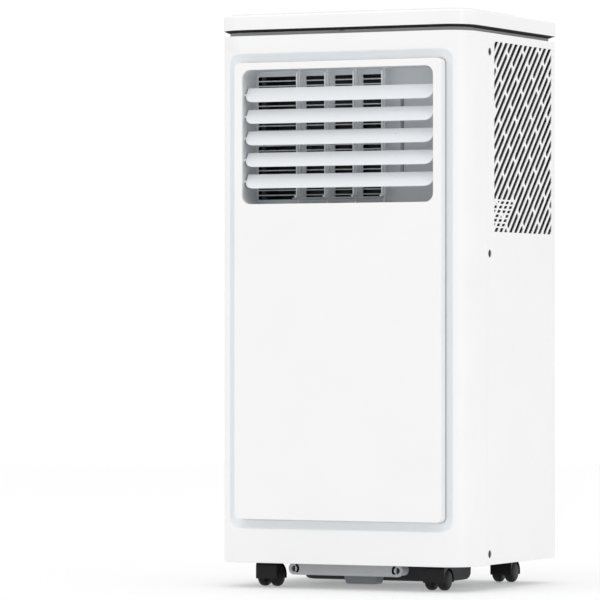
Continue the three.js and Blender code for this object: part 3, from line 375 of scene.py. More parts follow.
# The nets' threads are drawn at 1.6 to 1.8 mm, coarser than real ones, so that they show.
FILTER_NET = WovenMesh("grey_nylon_filter_woven", "#1C1D1F", 0.8)
REAR_NET = WovenMesh("black_nylon_filter_woven", "#55595E", 0.8, thread_mm=1.8)
GREEN_PCB = MouldedPlastic("green_epoxy_glass_board", "#1F5A36", 0.35, ior=1.55)
DISPLAY_GLOW = LitSurface("white_led_segment_diffused", "#DDF2FF", 0.4)
# A light table: it shines through its own shadows, so they stay pale.
FLOOR_PAINT = LitSurface("white_light_table_opal", "#C9C9C9", 0.7, strength=0.52)


class Palette:
    """Builds each finish once and hands out its material."""

    def __init__(self) -> None:
        """Starts with nothing built."""
        self.built: dict[str, bpy.types.Material] = {}

    def __getitem__(self, finish: Finish) -> bpy.types.Material:
        """Returns the finish's material, building it the first time."""
        if finish.name not in self.built:
            self.built[finish.name] = finish.build()
        return self.built[finish.name]


PALETTE = Palette()


# ---------------------------------------------------------------------------
# Outlines
# ---------------------------------------------------------------------------


def rounded(
    u0: float,
    u1: float,
    v0: float,
    v1: float,
    radii: float | Sequence[float],
    steps: int = 8,
    sides: tuple[int, int] = (0, 0),
) -> Outline:
    """A rectangle with rounded corners, anticlockwise from its low left corner.

    Args:
        u0: the lowest u.
        u1: the highest u.
        v0: the lowest v.
        v1: the highest v.
        radii: one radius, or one each for low left, low right, top right and top left.
        steps: the segments in each corner.
        sides: the extra points along the level sides and the upright sides.

    Returns:
        The outline's points.
    """
    r = [radii] * 4 if isinstance(radii, (int, float)) else list(radii)
    corners = [
        (u0 + r[0], v0 + r[0], r[0], math.pi),
        (u1 - r[1], v0 + r[1], r[1], 1.5 * math.pi),
        (u1 - r[2], v1 - r[2], r[2], 0.0),
        (u0 + r[3], v1 - r[3], r[3], 0.5 * math.pi),
    ]
    points: Outline = []
    for index, (cu, cv, radius, start) in enumerate(corners):
        for step in range(steps + 1):
            turn = start + 0.5 * math.pi * step / steps
            points.append((cu + radius * math.cos(turn), cv + radius * math.sin(turn)))
        following = corners[(index + 1) % 4]
        begin = points[-1]
        turn = following[3]
        end = (following[0] + following[2] * math.cos(turn), following[1] + following[2] * math.sin(turn))
        count = sides[index % 2]
        for step in range(1, count + 1):
            share = step / (count + 1)
            points.append((begin[0] + (end[0] - begin[0]) * share, begin[1] + (end[1] - begin[1]) * share))
    return points


def circle(cu: float, cv: float, radius: float, steps: int = 32) -> Outline:
    """A circle, anticlockwise."""
    turns = [2 * math.pi * step / steps for step in range(steps)]
    return [(cu + radius * math.cos(turn), cv + radius * math.sin(turn)) for turn in turns]


def capsule(cu: float, cv: float, length: float, width: float, slant: float, steps: int = 6) -> Outline:
    """A slot with round ends, anticlockwise.

    Args:
        cu: the centre's u.
        cv: the centre's v.
        length: end to end.
        width: across.
        slant: the turn of its long axis from u, in radians.
        steps: the segments in each round end.

    Returns:
        The outline's points.
    """
    radius = width / 2
    run = length / 2 - radius
    points = []
    for end, start in ((1, -0.5 * math.pi), (-1, 0.5 * math.pi)):
        for step in range(steps + 1):
            turn = start + math.pi * step / steps
            points.append((end * run + radius * math.cos(turn), radius * math.sin(turn)))
    cos, sin = math.cos(slant), math.sin(slant)
    return [(cu + p * cos - q * sin, cv + p * sin + q * cos) for p, q in points]


def clip(outline: Outline, axis: int, limit: float, keep: int) -> Outline:
    """Cuts a convex outline with a level or upright line.

    Args:
        outline: the outline.
        axis: 0 to cut at a u, 1 to cut at a v.
        limit: where the line is.
        keep: 1 to keep what is above the limit, -1 to keep what is below.

    Returns:
        What is left, which may be empty.
    """
    kept: Outline = []
    for index, here in enumerate(outline):
        following = outline[(index + 1) % len(outline)]
        inside = keep * (here[axis] - limit) >= 0
        next_inside = keep * (following[axis] - limit) >= 0
        if inside:
            kept.append(here)
        if inside != next_inside:
            share = (limit - here[axis]) / (following[axis] - here[axis])
            du, dv = following[0] - here[0], following[1] - here[1]
            kept.append((here[0] + du * share, here[1] + dv * share))
    return [point for index, point in enumerate(kept) if math.dist(point, kept[index - 1]) > 0.15]


def area_of(outline: Outline) -> float:
    """The outline's area, positive when it runs anticlockwise."""
    pairs = zip(outline, outline[1:] + outline[:1])
    return sum(a[0] * b[1] - b[0] * a[1] for a, b in pairs) / 2


def inset(outline: Outline, distance: float) -> Outline:
    """Moves an outline to its left by a distance, which shrinks an anticlockwise one.

    Args:
        outline: the outline.
        distance: how far each side moves.

    Returns:
        As many points as came in.
    """
    moved: Outline = []
    for index, here in enumerate(outline):
        before = outline[index - 1]
        after = outline[(index + 1) % len(outline)]
        normals = []
        for start, end in ((before, here), (here, after)):
            du, dv = end[0] - start[0], end[1] - start[1]
            length = math.hypot(du, dv) or 1.0
            normals.append((-dv / length, du / length))
        su, sv = normals[0][0] + normals[1][0], normals[0][1] + normals[1][1]
        square = max(su * su + sv * sv, 0.5)
        moved.append((here[0] + 2 * distance * su / square, here[1] + 2 * distance * sv / square))
    return moved


def rod(radius: float, low: float, high: float) -> Outline:
    """The section of a plain round pin between two heights, to be turned about its axis."""
    return [(0.0, low), (radius, low), (radius, high), (0.0, high)]


def rounding(radius: float, steps: int) -> list[Point]:
    """A quarter round from a flat to the side: how far in from each, in turn.

    Args:
        radius: its radius.
        steps: its segments.

    Returns:
        (in from the side, in from the flat) from (radius, 0) to (0, radius).
    """
    turns = [0.5 * math.pi * step / steps for step in range(steps + 1)]
    return [(radius * (1 - math.sin(turn)), radius * (1 - math.cos(turn))) for turn in turns]


def lifted(axis: Axis, rings: Sequence[tuple[Outline, float]]) -> list[list[Vector]]:
    """Places outlines at their heights along an axis.

    Args:
        axis: the axis.
        rings: each outline with its height.

    Returns:
        A loop of points for each.
    """
    return [[axis.place(u, v, height) for u, v in outline] for outline, height in rings]


def lattice(
    low: Point,
    high: Point,
    columns: int,
    rows: int,
    rib: float,
    border: float,
    radius: float,
) -> list[Outline]:
    """The windows of a lattice in a rectangle, column by column from the low corner.

    Args:
        low: the rectangle's low corner.
        high: its high corner.
        columns: how many columns.
        rows: how many rows.
        rib: the width of the ribs between windows.
        border: the width of the border round them.
        radius: the radius of their corners.

    Returns:
        The windows' outlines.
    """
    width = (high[0] - low[0] - 2 * border - (columns - 1) * rib) / columns
    height = (high[1] - low[1] - 2 * border - (rows - 1) * rib) / rows
    windows = []
    for column in range(columns):
        for row in range(rows):
            u = low[0] + border + column * (width + rib)
            v = low[1] + border + row * (height + rib)
            windows.append(rounded(u, u + width, v, v + height, radius, 3))
    return windows


def fill(borders: Sequence[Sequence[Vector]]) -> list[tuple[int, ...]]:
    """Fills an outline with triangles, leaving out its convex holes.

    Args:
        borders: the outer border, then the holes' borders.

    Returns:
        Each triangle's three points, counted through all the borders in turn.
    """
    if len(borders) == 1:
        return [tuple(triangle) for triangle in tessellate_polygon(borders)]
    points, edges, owner = [], [], []
    for number, border in enumerate(borders):
        start = len(points)
        count = len(border)
        points += [Vector((point.x, point.y)) for point in border]
        edges += [(start + index, start + (index + 1) % count) for index in range(count)]
        owner += [number] * count
    _, _, faces, sources, _, _ = delaunay_2d_cdt(points, edges, [], 0, 1e-5)
    triangles = []
    for face in faces:
        corners = tuple(sources[index][0] for index in face)
        owners = {owner[corner] for corner in corners}
        if len(owners) > 1 or owners == {0}:
            triangles.append(corners)
    return triangles


# ---------------------------------------------------------------------------
# Meshes
# ---------------------------------------------------------------------------


class Shape:
    """A mesh under construction, in millimetres."""

    def __init__(self) -> None:
        """Starts empty."""
        self.bm = bmesh.new()

    def skin(self, rows: Sequence[Sequence[bmesh.types.BMVert]]) -> None:
        """Joins closed rows of as many points each by four-sided faces."""
        for low, high in zip(rows, rows[1:]):
            for index in range(len(low)):
                after = (index + 1) % len(low)
                self.bm.faces.new((low[index], low[after], high[after], high[index]))

    def loft(
        self,
        loops: Sequence[Sequence[Vector]],
        caps: bool = True,
        ring: bool = False,
    ) -> "Shape":
        """Joins loops of as many points each by a skin.

        Args:
            loops: the loops in order.
            caps: whether the first and last loops are filled.
            ring: whether the last loop is joined back to the first instead.

        Returns:
            This shape.
        """
        rows = [[self.bm.verts.new(point * MM) for point in loop] for loop in loops]
        self.skin(rows + rows[:1] if ring else rows)
        if caps and not ring:
            self.bm.faces.new(rows[0][::-1])
            self.bm.faces.new(rows[-1])
        return self

    def plate(
        self,
        outline: Outline,
        place: Placer,
        low: float,
        high: float,
        holes: Sequence[Outline] = (),
        round_low: float = 0.4,
        round_high: float = 0.4,
        steps: int = 3,
    ) -> "Shape":
        """A flat plate with holes, its edges rounded on both faces.

        Args:
            outline: the outer outline, anticlockwise.
            place: turns (u, v, height) into a point.
            low: the height of one face.
            high: the height of the other face.
            holes: the holes' outlines, anticlockwise.
            round_low: the radius of the edges at the low face.
            round_high: the radius of the edges at the high face.
            steps: the segments in each rounded edge.

        Returns:
            This shape.
        """
        profile = [(inward, low + up) for inward, up in rounding(round_low, steps)]
        profile += [(inward, high - down) for inward, down in reversed(rounding(round_high, steps))]
        borders = [outline] + [hole[::-1] for hole in holes]
        ends: tuple[list[list[bmesh.types.BMVert]], list[list[bmesh.types.BMVert]]] = ([], [])
        flats: tuple[list[list[Vector]], list[list[Vector]]] = ([], [])
        for border in borders:
            rows = []
            for distance, height in profile:
                points = inset(border, distance)
                rows.append([self.bm.verts.new(place(u, v, height) * MM) for u, v in points])
            self.skin(rows)
            for end, row, distance in ((0, rows[0], profile[0][0]), (1, rows[-1], profile[-1][0])):
                ends[end].append(row)
                flats[end].append([Vector((u, v, 0)) for u, v in inset(border, distance)])
        for rows, flat in zip(ends, flats):
            verts = [vert for row in rows for vert in row]
            for triangle in fill(flat):
                corners = [verts[index] for index in triangle]
                if self.bm.faces.get(corners) is None:
                    self.bm.faces.new(corners)
        return self

    def turned(
        self,
        section: Outline,
        axis: Axis,
        centre: Point,
        start: float = 0.0,
        end: float = 360.0,
        steps: int = 40,
    ) -> "Shape":
        """Turns a closed section about an axis.

        Args:
            section: (radius, height) points of a closed outline; a point of radius 0 is allowed.
            axis: the axis.
            centre: the axis's place, in the plane square to it.
            start: the first angle in degrees.
            end: the last angle in degrees; 360 past the start closes the turn.
            steps: the segments in the turn.

        Returns:
            This shape.
        """
        whole = abs(end - start) >= 359.99
        count = steps if whole else steps + 1
        loops = []
        for step in range(count):
            turn = math.radians(start + (end - start) * step / steps)
            cos, sin = math.cos(turn), math.sin(turn)
            loop = [axis.place(centre[0] + r * cos, centre[1] + r * sin, h) for r, h in section]
            loops.append(loop)
        self.loft(loops, caps=not whole, ring=whole)
        return self

    def block(
        self,
        low: tuple[float, float, float],
        high: tuple[float, float, float],
        edge: float = 0.5,
        steps: int = 2,
    ) -> "Shape":
        """A block with all its edges rounded.

        Args:
            low: the lowest corner.
            high: the highest corner.
            edge: the radius of its edges.
            steps: the segments in each edge.

        Returns:
            This shape.
        """
        outline = rounded(low[0], high[0], low[1], high[1], edge * 1.1, steps)
        return self.plate(outline, Axis.Z.place, low[2], high[2], (), edge, edge, steps)

    def mesh(self, name: str, sharp_degrees: float = 40.0) -> bpy.types.Mesh:
        """Writes the mesh with outward faces, smooth but for edges sharper than an angle.

        Args:
            name: the mesh's name.
            sharp_degrees: the angle past which an edge stays sharp.

        Returns:
            The mesh.
        """
        bmesh.ops.remove_doubles(self.bm, verts=self.bm.verts, dist=0.002 * MM)
        bmesh.ops.dissolve_degenerate(self.bm, edges=self.bm.edges, dist=0.002 * MM)
        bmesh.ops.recalc_face_normals(self.bm, faces=self.bm.faces)
        mesh = bpy.data.meshes.new(name)
        self.bm.to_mesh(mesh)
        self.bm.free()
        mesh.shade_smooth()
        mesh.set_sharp_from_angle(angle=math.radians(sharp_degrees))
        return mesh


def add_piece(
    name: str,
    shape: Shape,
    finish: Finish,
    body: str = "cabinet",
    replaces: Sequence[str] = (),
    sharp_degrees: float = 40.0,
) -> bpy.types.Object:
    """Adds a piece to the object.

    Args:
        name: the piece's name.
        shape: its mesh.
        finish: its finish.
        body: the body that it rides on.
        replaces: the frame's nodes that it stands for.
        sharp_degrees: the angle past which an edge stays sharp.

    Returns:
        The new object.
    """
    piece = bpy.data.objects.new(name, shape.mesh(name, sharp_degrees))
    bpy.context.scene.collection.objects.link(piece)
    piece.data.materials.append(PALETTE[finish])
    weigh = piece.modifiers.new("weighted_normals", "WEIGHTED_NORMAL")
    weigh.keep_sharp = True
    weigh.weight = 60
    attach(piece, body)
    if replaces:
        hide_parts(*replaces)
    LOG.info("piece %s rides on %s", name, body)
    return piece


def paint_faces(
    piece: bpy.types.Object,
    finish: Finish,
    chosen: Callable[[bpy.types.MeshPolygon], bool],
) -> None:
    """Gives a second finish to some of a piece's faces.

    Args:
        piece: the piece.
        finish: the second finish.
        chosen: tells which faces take it.
    """
    piece.data.materials.append(PALETTE[finish])
    for polygon in piece.data.polygons:
        if chosen(polygon):
            polygon.material_index = len(piece.data.materials) - 1


def box_mm(node: str) -> tuple[Vector, Vector]:
    """A frame node's lowest and highest corners in millimetres."""
    low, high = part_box(node)
    return Vector(low) / MM, Vector(high) / MM


# ---------------------------------------------------------------------------
# The cabinet's shared sizes
# ---------------------------------------------------------------------------


@dataclass(frozen=True)
class Cabinet:
    """Sizes that the sub-assemblies share, in millimetres."""

    side: float = 160.0
    front: float = -134.5
    back: float = 134.5
    bottom: float = 29.0
    top: float = 642.5
    front_corner: float = 33.0
    rear_corner: float = 5.0
    wall: float = 2.5
    seam: float = -70.9
    rear_seam: float = 122.5

    def plan(self, by: float) -> Outline:
        """The cabinet's plan in x and y, moved in by a distance."""
        fronts = max(self.front_corner - by, 0.6)
        rears = max(self.rear_corner - by, 0.6)
        radii = (fronts, fronts, rears, rears)
        return rounded(-self.side + by, self.side - by, self.front + by, self.back - by, radii, 14, (8, 8))

    def band(self, profile: Sequence[Point]) -> list[list[Vector]]:
        """Loops round the cabinet's plan, from (distance in, height) points."""
        return lifted(Axis.Z, [(self.plan(by), z) for by, z in profile])

    def wrap(self, u: float, v: float, depth: float) -> Vector:
        """A point under the front face and its corners, u being measured along the face from the centre."""
        flat = self.side - self.front_corner
        arc = 0.5 * math.pi * self.front_corner
        sign = 1 if u >= 0 else -1
        run = abs(u)
        if run <= flat:
            return Vector((u, self.front + depth, v))
        if run <= flat + arc:
            turn = (run - flat) / self.front_corner
            reach = self.front_corner - depth
            middle = self.front + self.front_corner
            return Vector((sign * (flat + reach * math.sin(turn)), middle - reach * math.cos(turn), v))
        along = self.front + self.front_corner + run - flat - arc
        return Vector((sign * (self.side - depth), along, v))

    def unwrap(self, x: float) -> float:
        """The distance along the face from the centre to a given x on the face or its corner."""
        flat = self.side - self.front_corner
        run = abs(x)
        if run > flat:
            run = flat + self.front_corner * math.asin(min((run - flat) / self.front_corner, 1.0))
        return math.copysign(run, x)

    @property
    def half_girth(self) -> float:
        """The distance along the face from the centre to the side seam."""
        straight = self.seam - self.front - self.front_corner
        return self.side - self.front_corner + 0.5 * math.pi * self.front_corner + straight


CABINET = Cabinet()


@dataclass(frozen=True)
class Outlet:
    """The outlet panel's and the opening's sizes."""

    panel_half: float = 131.5
    panel_bottom: float = 79.8
    panel_top: float = 610.5
    panel_corner: float = 6.0
    panel_front: float = -140.5
    panel_back: float = -126.8
    half: float = 121.5
    bottom: float = 446.3
    top: float = 602.3
    corner: float = 10.0

    def panel(self, grow: float, slack: float = 1.0, sides: tuple[int, int] = (8, 24)) -> Outline:
        """The panel's outline, grown by a distance; slack is how much of that its corners take."""
        radius = max(self.panel_corner + grow * slack, 0.4)
        half = self.panel_half + grow
        return rounded(-half, half, self.panel_bottom - grow, self.panel_top + grow, radius, 8, sides)

    def opening(self, grow: float) -> Outline:
        """The opening's outline, grown by a distance."""
        half = self.half + grow
        radius = max(self.corner + grow, 0.4)
        return rounded(-half, half, self.bottom - grow, self.top + grow, radius, 8, (8, 24))


OUTLET = Outlet()


# ---------------------------------------------------------------------------
# Skins
# ---------------------------------------------------------------------------


@dataclass
class FrontShell:
    """The wrap-round front with the soft channel that frames the outlet panel."""

    channel_floor: float = -126.5
    edge: float = 0.6
    corner: float = 0.5
    slack: float = 0.62
    sides: tuple[int, int] = (120, 24)
    face_steps: int = 18
    back_steps: int = 12
    back_grow: float = 11.0
    # How deep under the face a channel face must lie to take the painted shade.
    painted_below: float = 0.5
    # How far out from the panel's edge, and what share of the channel's depth is left there.
    profile: tuple[Point, ...] = (
        (-5.0, 1.0), (0.0, 1.0), (1.6, 1.0), (3.6, 0.95), (5.4, 0.88), (6.9, 0.77),
        (8.1, 0.63), (9.1, 0.46), (9.9, 0.29), (10.5, 0.16), (11.1, 0.07), (11.8, 0.02),
        (12.8, 0.0),
    )

    def face_loop(self, share: float, depth: float) -> list[Vector]:
        """A loop on the face between the channel's edge and the shell's own edge.

        Args:
            share: 0 at the channel, 1 at the shell's edge.
            depth: the depth under the face.

        Returns:
            The loop's points.
        """
        grow = self.profile[-1][0]
        start = CABINET.unwrap(OUTLET.panel_half + grow)
        half = start + (CABINET.half_girth - self.edge - start) * share
        lows = OUTLET.panel_bottom - grow
        highs = OUTLET.panel_top + grow
        low = lows + (CABINET.bottom + self.edge - lows) * share
        high = highs + (CABINET.top - self.edge - highs) * share
        radius = (OUTLET.panel_corner + grow * self.slack) * (1 - share) + self.corner * share
        outline = rounded(-half, half, low, high, radius, 8, self.sides)
        return [CABINET.wrap(u, v, depth) for u, v in outline]

    def channel_loop(self, grow: float, share: float, behind: float = 0.0) -> list[Vector]:
        """A loop in the channel, at a share of its depth."""
        loop = []
        for x, z in OUTLET.panel(grow, self.slack, self.sides):
            face = CABINET.wrap(CABINET.unwrap(x), z, 0.0)
            loop.append(Vector((x, face.y + (self.channel_floor - face.y) * share + behind, z)))
        return loop

    def build(self) -> None:
        """Builds the shell as one closed skin."""
        loops = [self.channel_loop(grow, share) for grow, share in self.profile[:-1]]
        loops += [self.face_loop(step / self.face_steps, 0.0) for step in range(self.face_steps + 1)]
        rim, low, high = CABINET.half_girth, CABINET.bottom, CABINET.top
        edges = [(short, depth) for short, depth in rounding(self.edge, 3)[1:]] + [(0.0, CABINET.wall)]
        for short, depth in edges:
            half = rim - short
            outline = rounded(-half, half, low + short, high - short, self.corner, 8, self.sides)
            loops.append([CABINET.wrap(u, v, depth) for u, v in outline])
        shares = [1 - step / self.back_steps for step in range(1, self.back_steps)]
        loops += [self.face_loop(share, CABINET.wall) for share in shares]
        loops.append(self.channel_loop(self.back_grow, 1.0, CABINET.wall))
        loops.append(self.channel_loop(self.profile[0][0], 1.0, CABINET.wall))
        shape = Shape().loft(loops, ring=True)
        piece = add_piece("front_shell_skin", shape, WHITE_ABS, replaces=["front_shell"])
        # The channel's faces take the darker white: painted shade for the recess round the panel.
        paint_faces(piece, CHANNEL_PAINTED_SHADE, self.in_channel)

    def in_channel(self, polygon: bpy.types.MeshPolygon) -> bool:
        """Whether a face lies in the channel and takes its painted shade: under the front, and not past its
        floor.
        """
        centre = Vector(polygon.center) / MM
        face = CABINET.wrap(CABINET.unwrap(centre.x), centre.z, 0.0)
        return face.y + self.painted_below < centre.y < self.channel_floor + 0.2 and polygon.normal.y < 0.2


@dataclass
class SidePanel:
    """A flat side with its field of slanted slots."""

    side: Side
    grille_low: Point = (-52.0, 413.4)
    grille_high: Point = (120.0, 633.2)
    pitch: float = 10.2
    slot_width: float = 6.6
    period: float = 72.0
    bridge: float = 3.0
    screw_y: float = -64.8
    screw_heights: tuple[float, ...] = (620.6, 387.9, 41.5)
    screw_recess: float = 4.6
    screw_depth: float = 1.3
    guard_bars: int = 7
    guard_z: float = 419.0
    guard_pitch: float = 5.2
    guard_slant: float = 444.0
    skin: float = 1.3

    def slots(self) -> list[Outline]:
        """The slots' outlines in y and z, cut off at the grille's edges."""
        centre_y = (self.grille_low[0] + self.grille_high[0]) / 2
        centre_z = (self.grille_low[1] + self.grille_high[1]) / 2
        root = math.sqrt(0.5)
        holes = []
        for line in range(-20, 21):
            for step in range(-4, 5):
                along = (step + (0.5 if line % 2 else 0.0)) * self.period
                across = line * self.pitch
                y = centre_y + root * (along - across)
                z = centre_z + root * (along + across)
                hole = capsule(y, z, self.period - self.bridge, self.slot_width, math.pi / 4)
                for axis in (0, 1):
                    hole = clip(hole, axis, self.grille_low[axis], 1) if hole else hole
                    hole = clip(hole, axis, self.grille_high[axis], -1) if hole else hole
                if len(hole) > 2 and area_of(hole) > 20:
                    holes.append(hole)
        return holes

    def build(self) -> None:
        """Builds the panel, its screws and the guard bars behind the low front corner."""
        name = self.side.name.lower()
        outline = rounded(CABINET.seam + 0.2, CABINET.rear_seam - 0.2, CABINET.bottom, CABINET.top, 0.9, 3)
        holes = self.slots()
        holes += [circle(self.screw_y, z, self.screw_recess, 20) for z in self.screw_heights]
        inner, outer = CABINET.side - self.skin, CABINET.side
        shape = Shape().plate(outline, self.side.place, inner, outer, holes, 0.2, 0.35)
        add_piece(f"{name}_side_skin", shape, WHITE_ABS, replaces=[f"{name}_side_panel"])
        self.build_guard(name)
        self.build_screws(name)

    def build_guard(self, name: str) -> None:
        """Level bars close the slots at the low front corner, ending along a slot's slant."""
        shape = Shape()
        for index in range(self.guard_bars):
            z = self.guard_z + self.guard_pitch * index
            y_end = z - self.guard_slant
            bar = rounded(self.grille_low[0] - 2, y_end + 4, z - 1.0, z + 1.0, 0.9, 3)
            shape.plate(bar, self.side.place, CABINET.side - 2.6, CABINET.side - 0.2, (), 0.3, 0.5)
        add_piece(f"{name}_grille_guard", shape, WHITE_ABS)

    def build_screws(self, name: str) -> None:
        """Countersunk screws, each with a raised cross."""
        shape = Shape()
        sign, face = self.side.value, CABINET.side - self.screw_depth
        for z in self.screw_heights:
            section = [(0.0, face - 1.2), (4.5, face - 1.2), (4.5, face - 0.5), (3.6, face)]
            section += [(1.6, face), (1.0, face - 0.9), (0.0, face - 0.9)]
            part = Shape().turned(section, Axis.X, (self.screw_y, z), steps=24)
            if sign < 0:
                bmesh.ops.scale(part.bm, vec=(-1, 1, 1), verts=part.bm.verts)
            merge(shape, part)
            for long, wide in ((2.7, 0.55), (0.55, 2.7)):
                low = (sign * face - 0.25, self.screw_y - long, z - wide)
                high = (sign * face + 0.12, self.screw_y + long, z + wide)
                shape.block(low, high, 0.1, 1)
        add_piece(f"{name}_side_screws", shape, SCREW_STEEL)


def merge(target: Shape, other: Shape) -> None:
    """Adds one shape's mesh to another and frees it."""
    scratch = bpy.data.meshes.new("scratch")
    other.bm.to_mesh(scratch)
    other.bm.free()
    target.bm.from_mesh(scratch)
    bpy.data.meshes.remove(scratch)


@dataclass
class FilterFrame:
    """The intake filter behind a side grille: a ribbed frame over a woven net."""

    side: Side
    columns: int = 2
    rows: int = 6
    rib: float = 3.0
    border: float = 6.0
    ribs_x: Point = (153.4, 157.2)
    net_x: Point = (154.2, 154.8)

    def build(self) -> None:
        """Builds the frame and its net."""
        name = self.side.name.lower()
        low, high = box_mm(f"{name}_filter_frame")
        corners = (low.y, low.z), (high.y, high.z)
        holes = lattice(*corners, self.columns, self.rows, self.rib, self.border, 1.5)
        outline = rounded(low.y, high.y, low.z, high.z, 3.0, 4)
        shape = Shape().plate(outline, self.side.place, *self.ribs_x, holes, 0.4, 0.5, 2)
        add_piece(f"{name}_filter_ribs", shape, DARK_PP, replaces=[f"{name}_filter_frame"])
        net_outline = rounded(low.y + 2, high.y - 2, low.z + 2, high.z - 2, 2.0, 3)
        net = Shape().plate(net_outline, self.side.place, *self.net_x, (), 0.1, 0.1, 1)
        add_piece(f"{name}_filter_net", net, FILTER_NET)


@dataclass
class RearPanel:
    """The back, with the exhaust hole, the filter's mouth and three columns of intake slots."""

    exhaust: Point = (-50.0, 322.0)
    exhaust_radius: float = 60.0
    mouth: tuple[float, float, float] = (118.0, 458.5, 608.5)
    intake_half: float = 110.0
    intake_rows: int = 12
    intake_low: float = 89.0
    intake_pitch: float = 12.0
    intake_slot: float = 6.0
    intake_gap: float = 8.0
    # Round holes for the drain and the cord: x, z and radius.
    ports: tuple[tuple[float, float, float], ...] = ((118.0, 52.0, 7.2), (128.0, 120.0, 6.0))

    def holes(self) -> list[Outline]:
        """The outlines of the holes in x and z."""
        half, low, high = self.mouth
        holes = [circle(*self.exhaust, self.exhaust_radius, 64), rounded(-half, half, low, high, 3.0, 4)]
        width = (2 * self.intake_half - 2 * self.intake_gap) / 3
        for column in range(3):
            centre = (column - 1) * (width + self.intake_gap)
            for row in range(self.intake_rows):
                z = self.intake_low + row * self.intake_pitch
                holes.append(capsule(centre, z, width, self.intake_slot, 0.0))
        return holes + [circle(*port, 24) for port in self.ports]

    def build(self) -> None:
        """Builds the flat back and its two side returns as one skin."""
        inner, outer = CABINET.back - CABINET.wall, CABINET.back
        edge = CABINET.side - CABINET.rear_corner
        outline = rounded(-edge, edge, CABINET.bottom, CABINET.top, 0.6, 2)
        shape = Shape().plate(outline, Axis.Y.place, inner, outer, self.holes(), 0.2, 0.5)
        for sign in (-1, 1):
            shape.loft(self.corner_loops(sign))
        add_piece("rear_panel_skin", shape, WHITE_ABS, replaces=["rear_panel"])

    def corner_loops(self, sign: int) -> list[list[Vector]]:
        """The section round a rear corner, from the flat back to the side seam, low then high."""
        radius, wall, side = CABINET.rear_corner, CABINET.wall, CABINET.side
        centre = Vector((side - radius, CABINET.back - radius, 0))
        turns = [0.5 * math.pi * step / 8 for step in range(9)]
        spokes = [Vector((math.sin(turn), math.cos(turn), 0)) for turn in turns]
        outer = [centre + radius * spoke for spoke in spokes]
        inner = [centre + (radius - wall) * spoke for spoke in spokes]
        seam = CABINET.rear_seam + 0.2
        lead = Vector((centre.x - 0.6, CABINET.back, 0))
        outer = [lead] + outer + [Vector((side, seam + 0.4, 0)), Vector((side - 0.4, seam, 0))]
        inner = [Vector((centre.x - 0.6, CABINET.back - wall, 0))] + inner + [Vector((side - wall, seam, 0))]
        section = outer + inner[::-1]
        edge = 0.5
        loops = []
        for z in (CABINET.bottom, CABINET.bottom + edge, CABINET.top - edge, CABINET.top):
            loops.append([Vector((sign * p.x, p.y, z)) for p in section])
        return loops


@dataclass
class OutletPanel:
    """The long raised panel that frames the outlet and runs down the front."""

    edge: float = 0.9
    lip: float = 0.8
    wall: float = 2.5

    def build(self) -> None:
        """Builds the panel as one closed skin round the opening."""
        front, back = OUTLET.panel_front, OUTLET.panel_back
        inner, turned_in = front + self.wall, OUTLET.panel(-self.wall)
        loops = [(OUTLET.opening(0.0), inner)]
        loops += [(OUTLET.opening(grow), front + depth) for depth, grow in rounding(self.lip, 4)]
        loops += [(OUTLET.panel(-short), front + depth) for short, depth in rounding(self.edge, 5)]
        loops += [(OUTLET.panel(0.0), back - 0.4), (OUTLET.panel(-0.4), back)]
        loops += [(turned_in, back), (turned_in, inner)]
        points = lifted(Axis.Y, loops)
        shape = Shape().loft(points, ring=True)
        piece = add_piece("outlet_panel_skin", shape, WHITE_ABS, replaces=["outlet_panel"])
        # The skirt takes the channel's darker white: painted shade on the panel's side walls inside the
        # channel.
        paint_faces(piece, CHANNEL_PAINTED_SHADE, self.on_skirt)
        rings = [(-1.5, back - 1.0), (0.5, back - 1.0), (0.8, back - 0.7), (0.8, back), (-1.5, back)]
        gasket = Shape().loft(lifted(Axis.Y, [(OUTLET.panel(grow), y) for grow, y in rings]), ring=True)
        add_piece("outlet_panel_gasket", gasket, PALE_PP)

    def on_skirt(self, polygon: bpy.types.MeshPolygon) -> bool:
        """Whether a face belongs to the skirt that stands in the channel and takes its painted shade."""
        return abs(polygon.normal.y) < 0.3 and polygon.center.y > (OUTLET.panel_front + self.edge) * MM


@dataclass
class OutletDuct:
    """The duct behind the opening, with its guard grid at the back."""

    front: float = -137.7
    back: float = -98.7
    wall: float = 2.2
    edge: float = 0.4
    columns: tuple[tuple[float, float], ...] = ((-120.0, -64.0), (-58.0, -29.0), (-21.0, 7.0), (15.0, 42.0))
    rows: int = 25
    row_pitch: float = 5.8
    bar: float = 1.3

    def build(self) -> None:
        """Builds the duct's walls and the grid."""
        edge, wall = self.edge, self.wall
        rings = [(0.0, self.front + edge), (edge, self.front), (wall - edge, self.front)]
        rings += [(wall, self.front + edge), (wall, self.back), (0.0, self.back)]
        shape = Shape().loft(lifted(Axis.Y, [(OUTLET.opening(grow), y) for grow, y in rings]), ring=True)
        holes = []
        start = OUTLET.bottom + 6.0
        for low, high in self.columns:
            for row in range(self.rows):
                z = start + row * self.row_pitch
                holes.append(rounded(low, high, z, z + self.row_pitch - self.bar, 1.0, 2))
        shape.plate(OUTLET.opening(0.3), Axis.Y.place, self.back - 2.0, self.back, holes, 0.3, 0.2, 2)
        add_piece("outlet_duct_walls", shape, DUCT_ABS, replaces=["outlet_duct"])


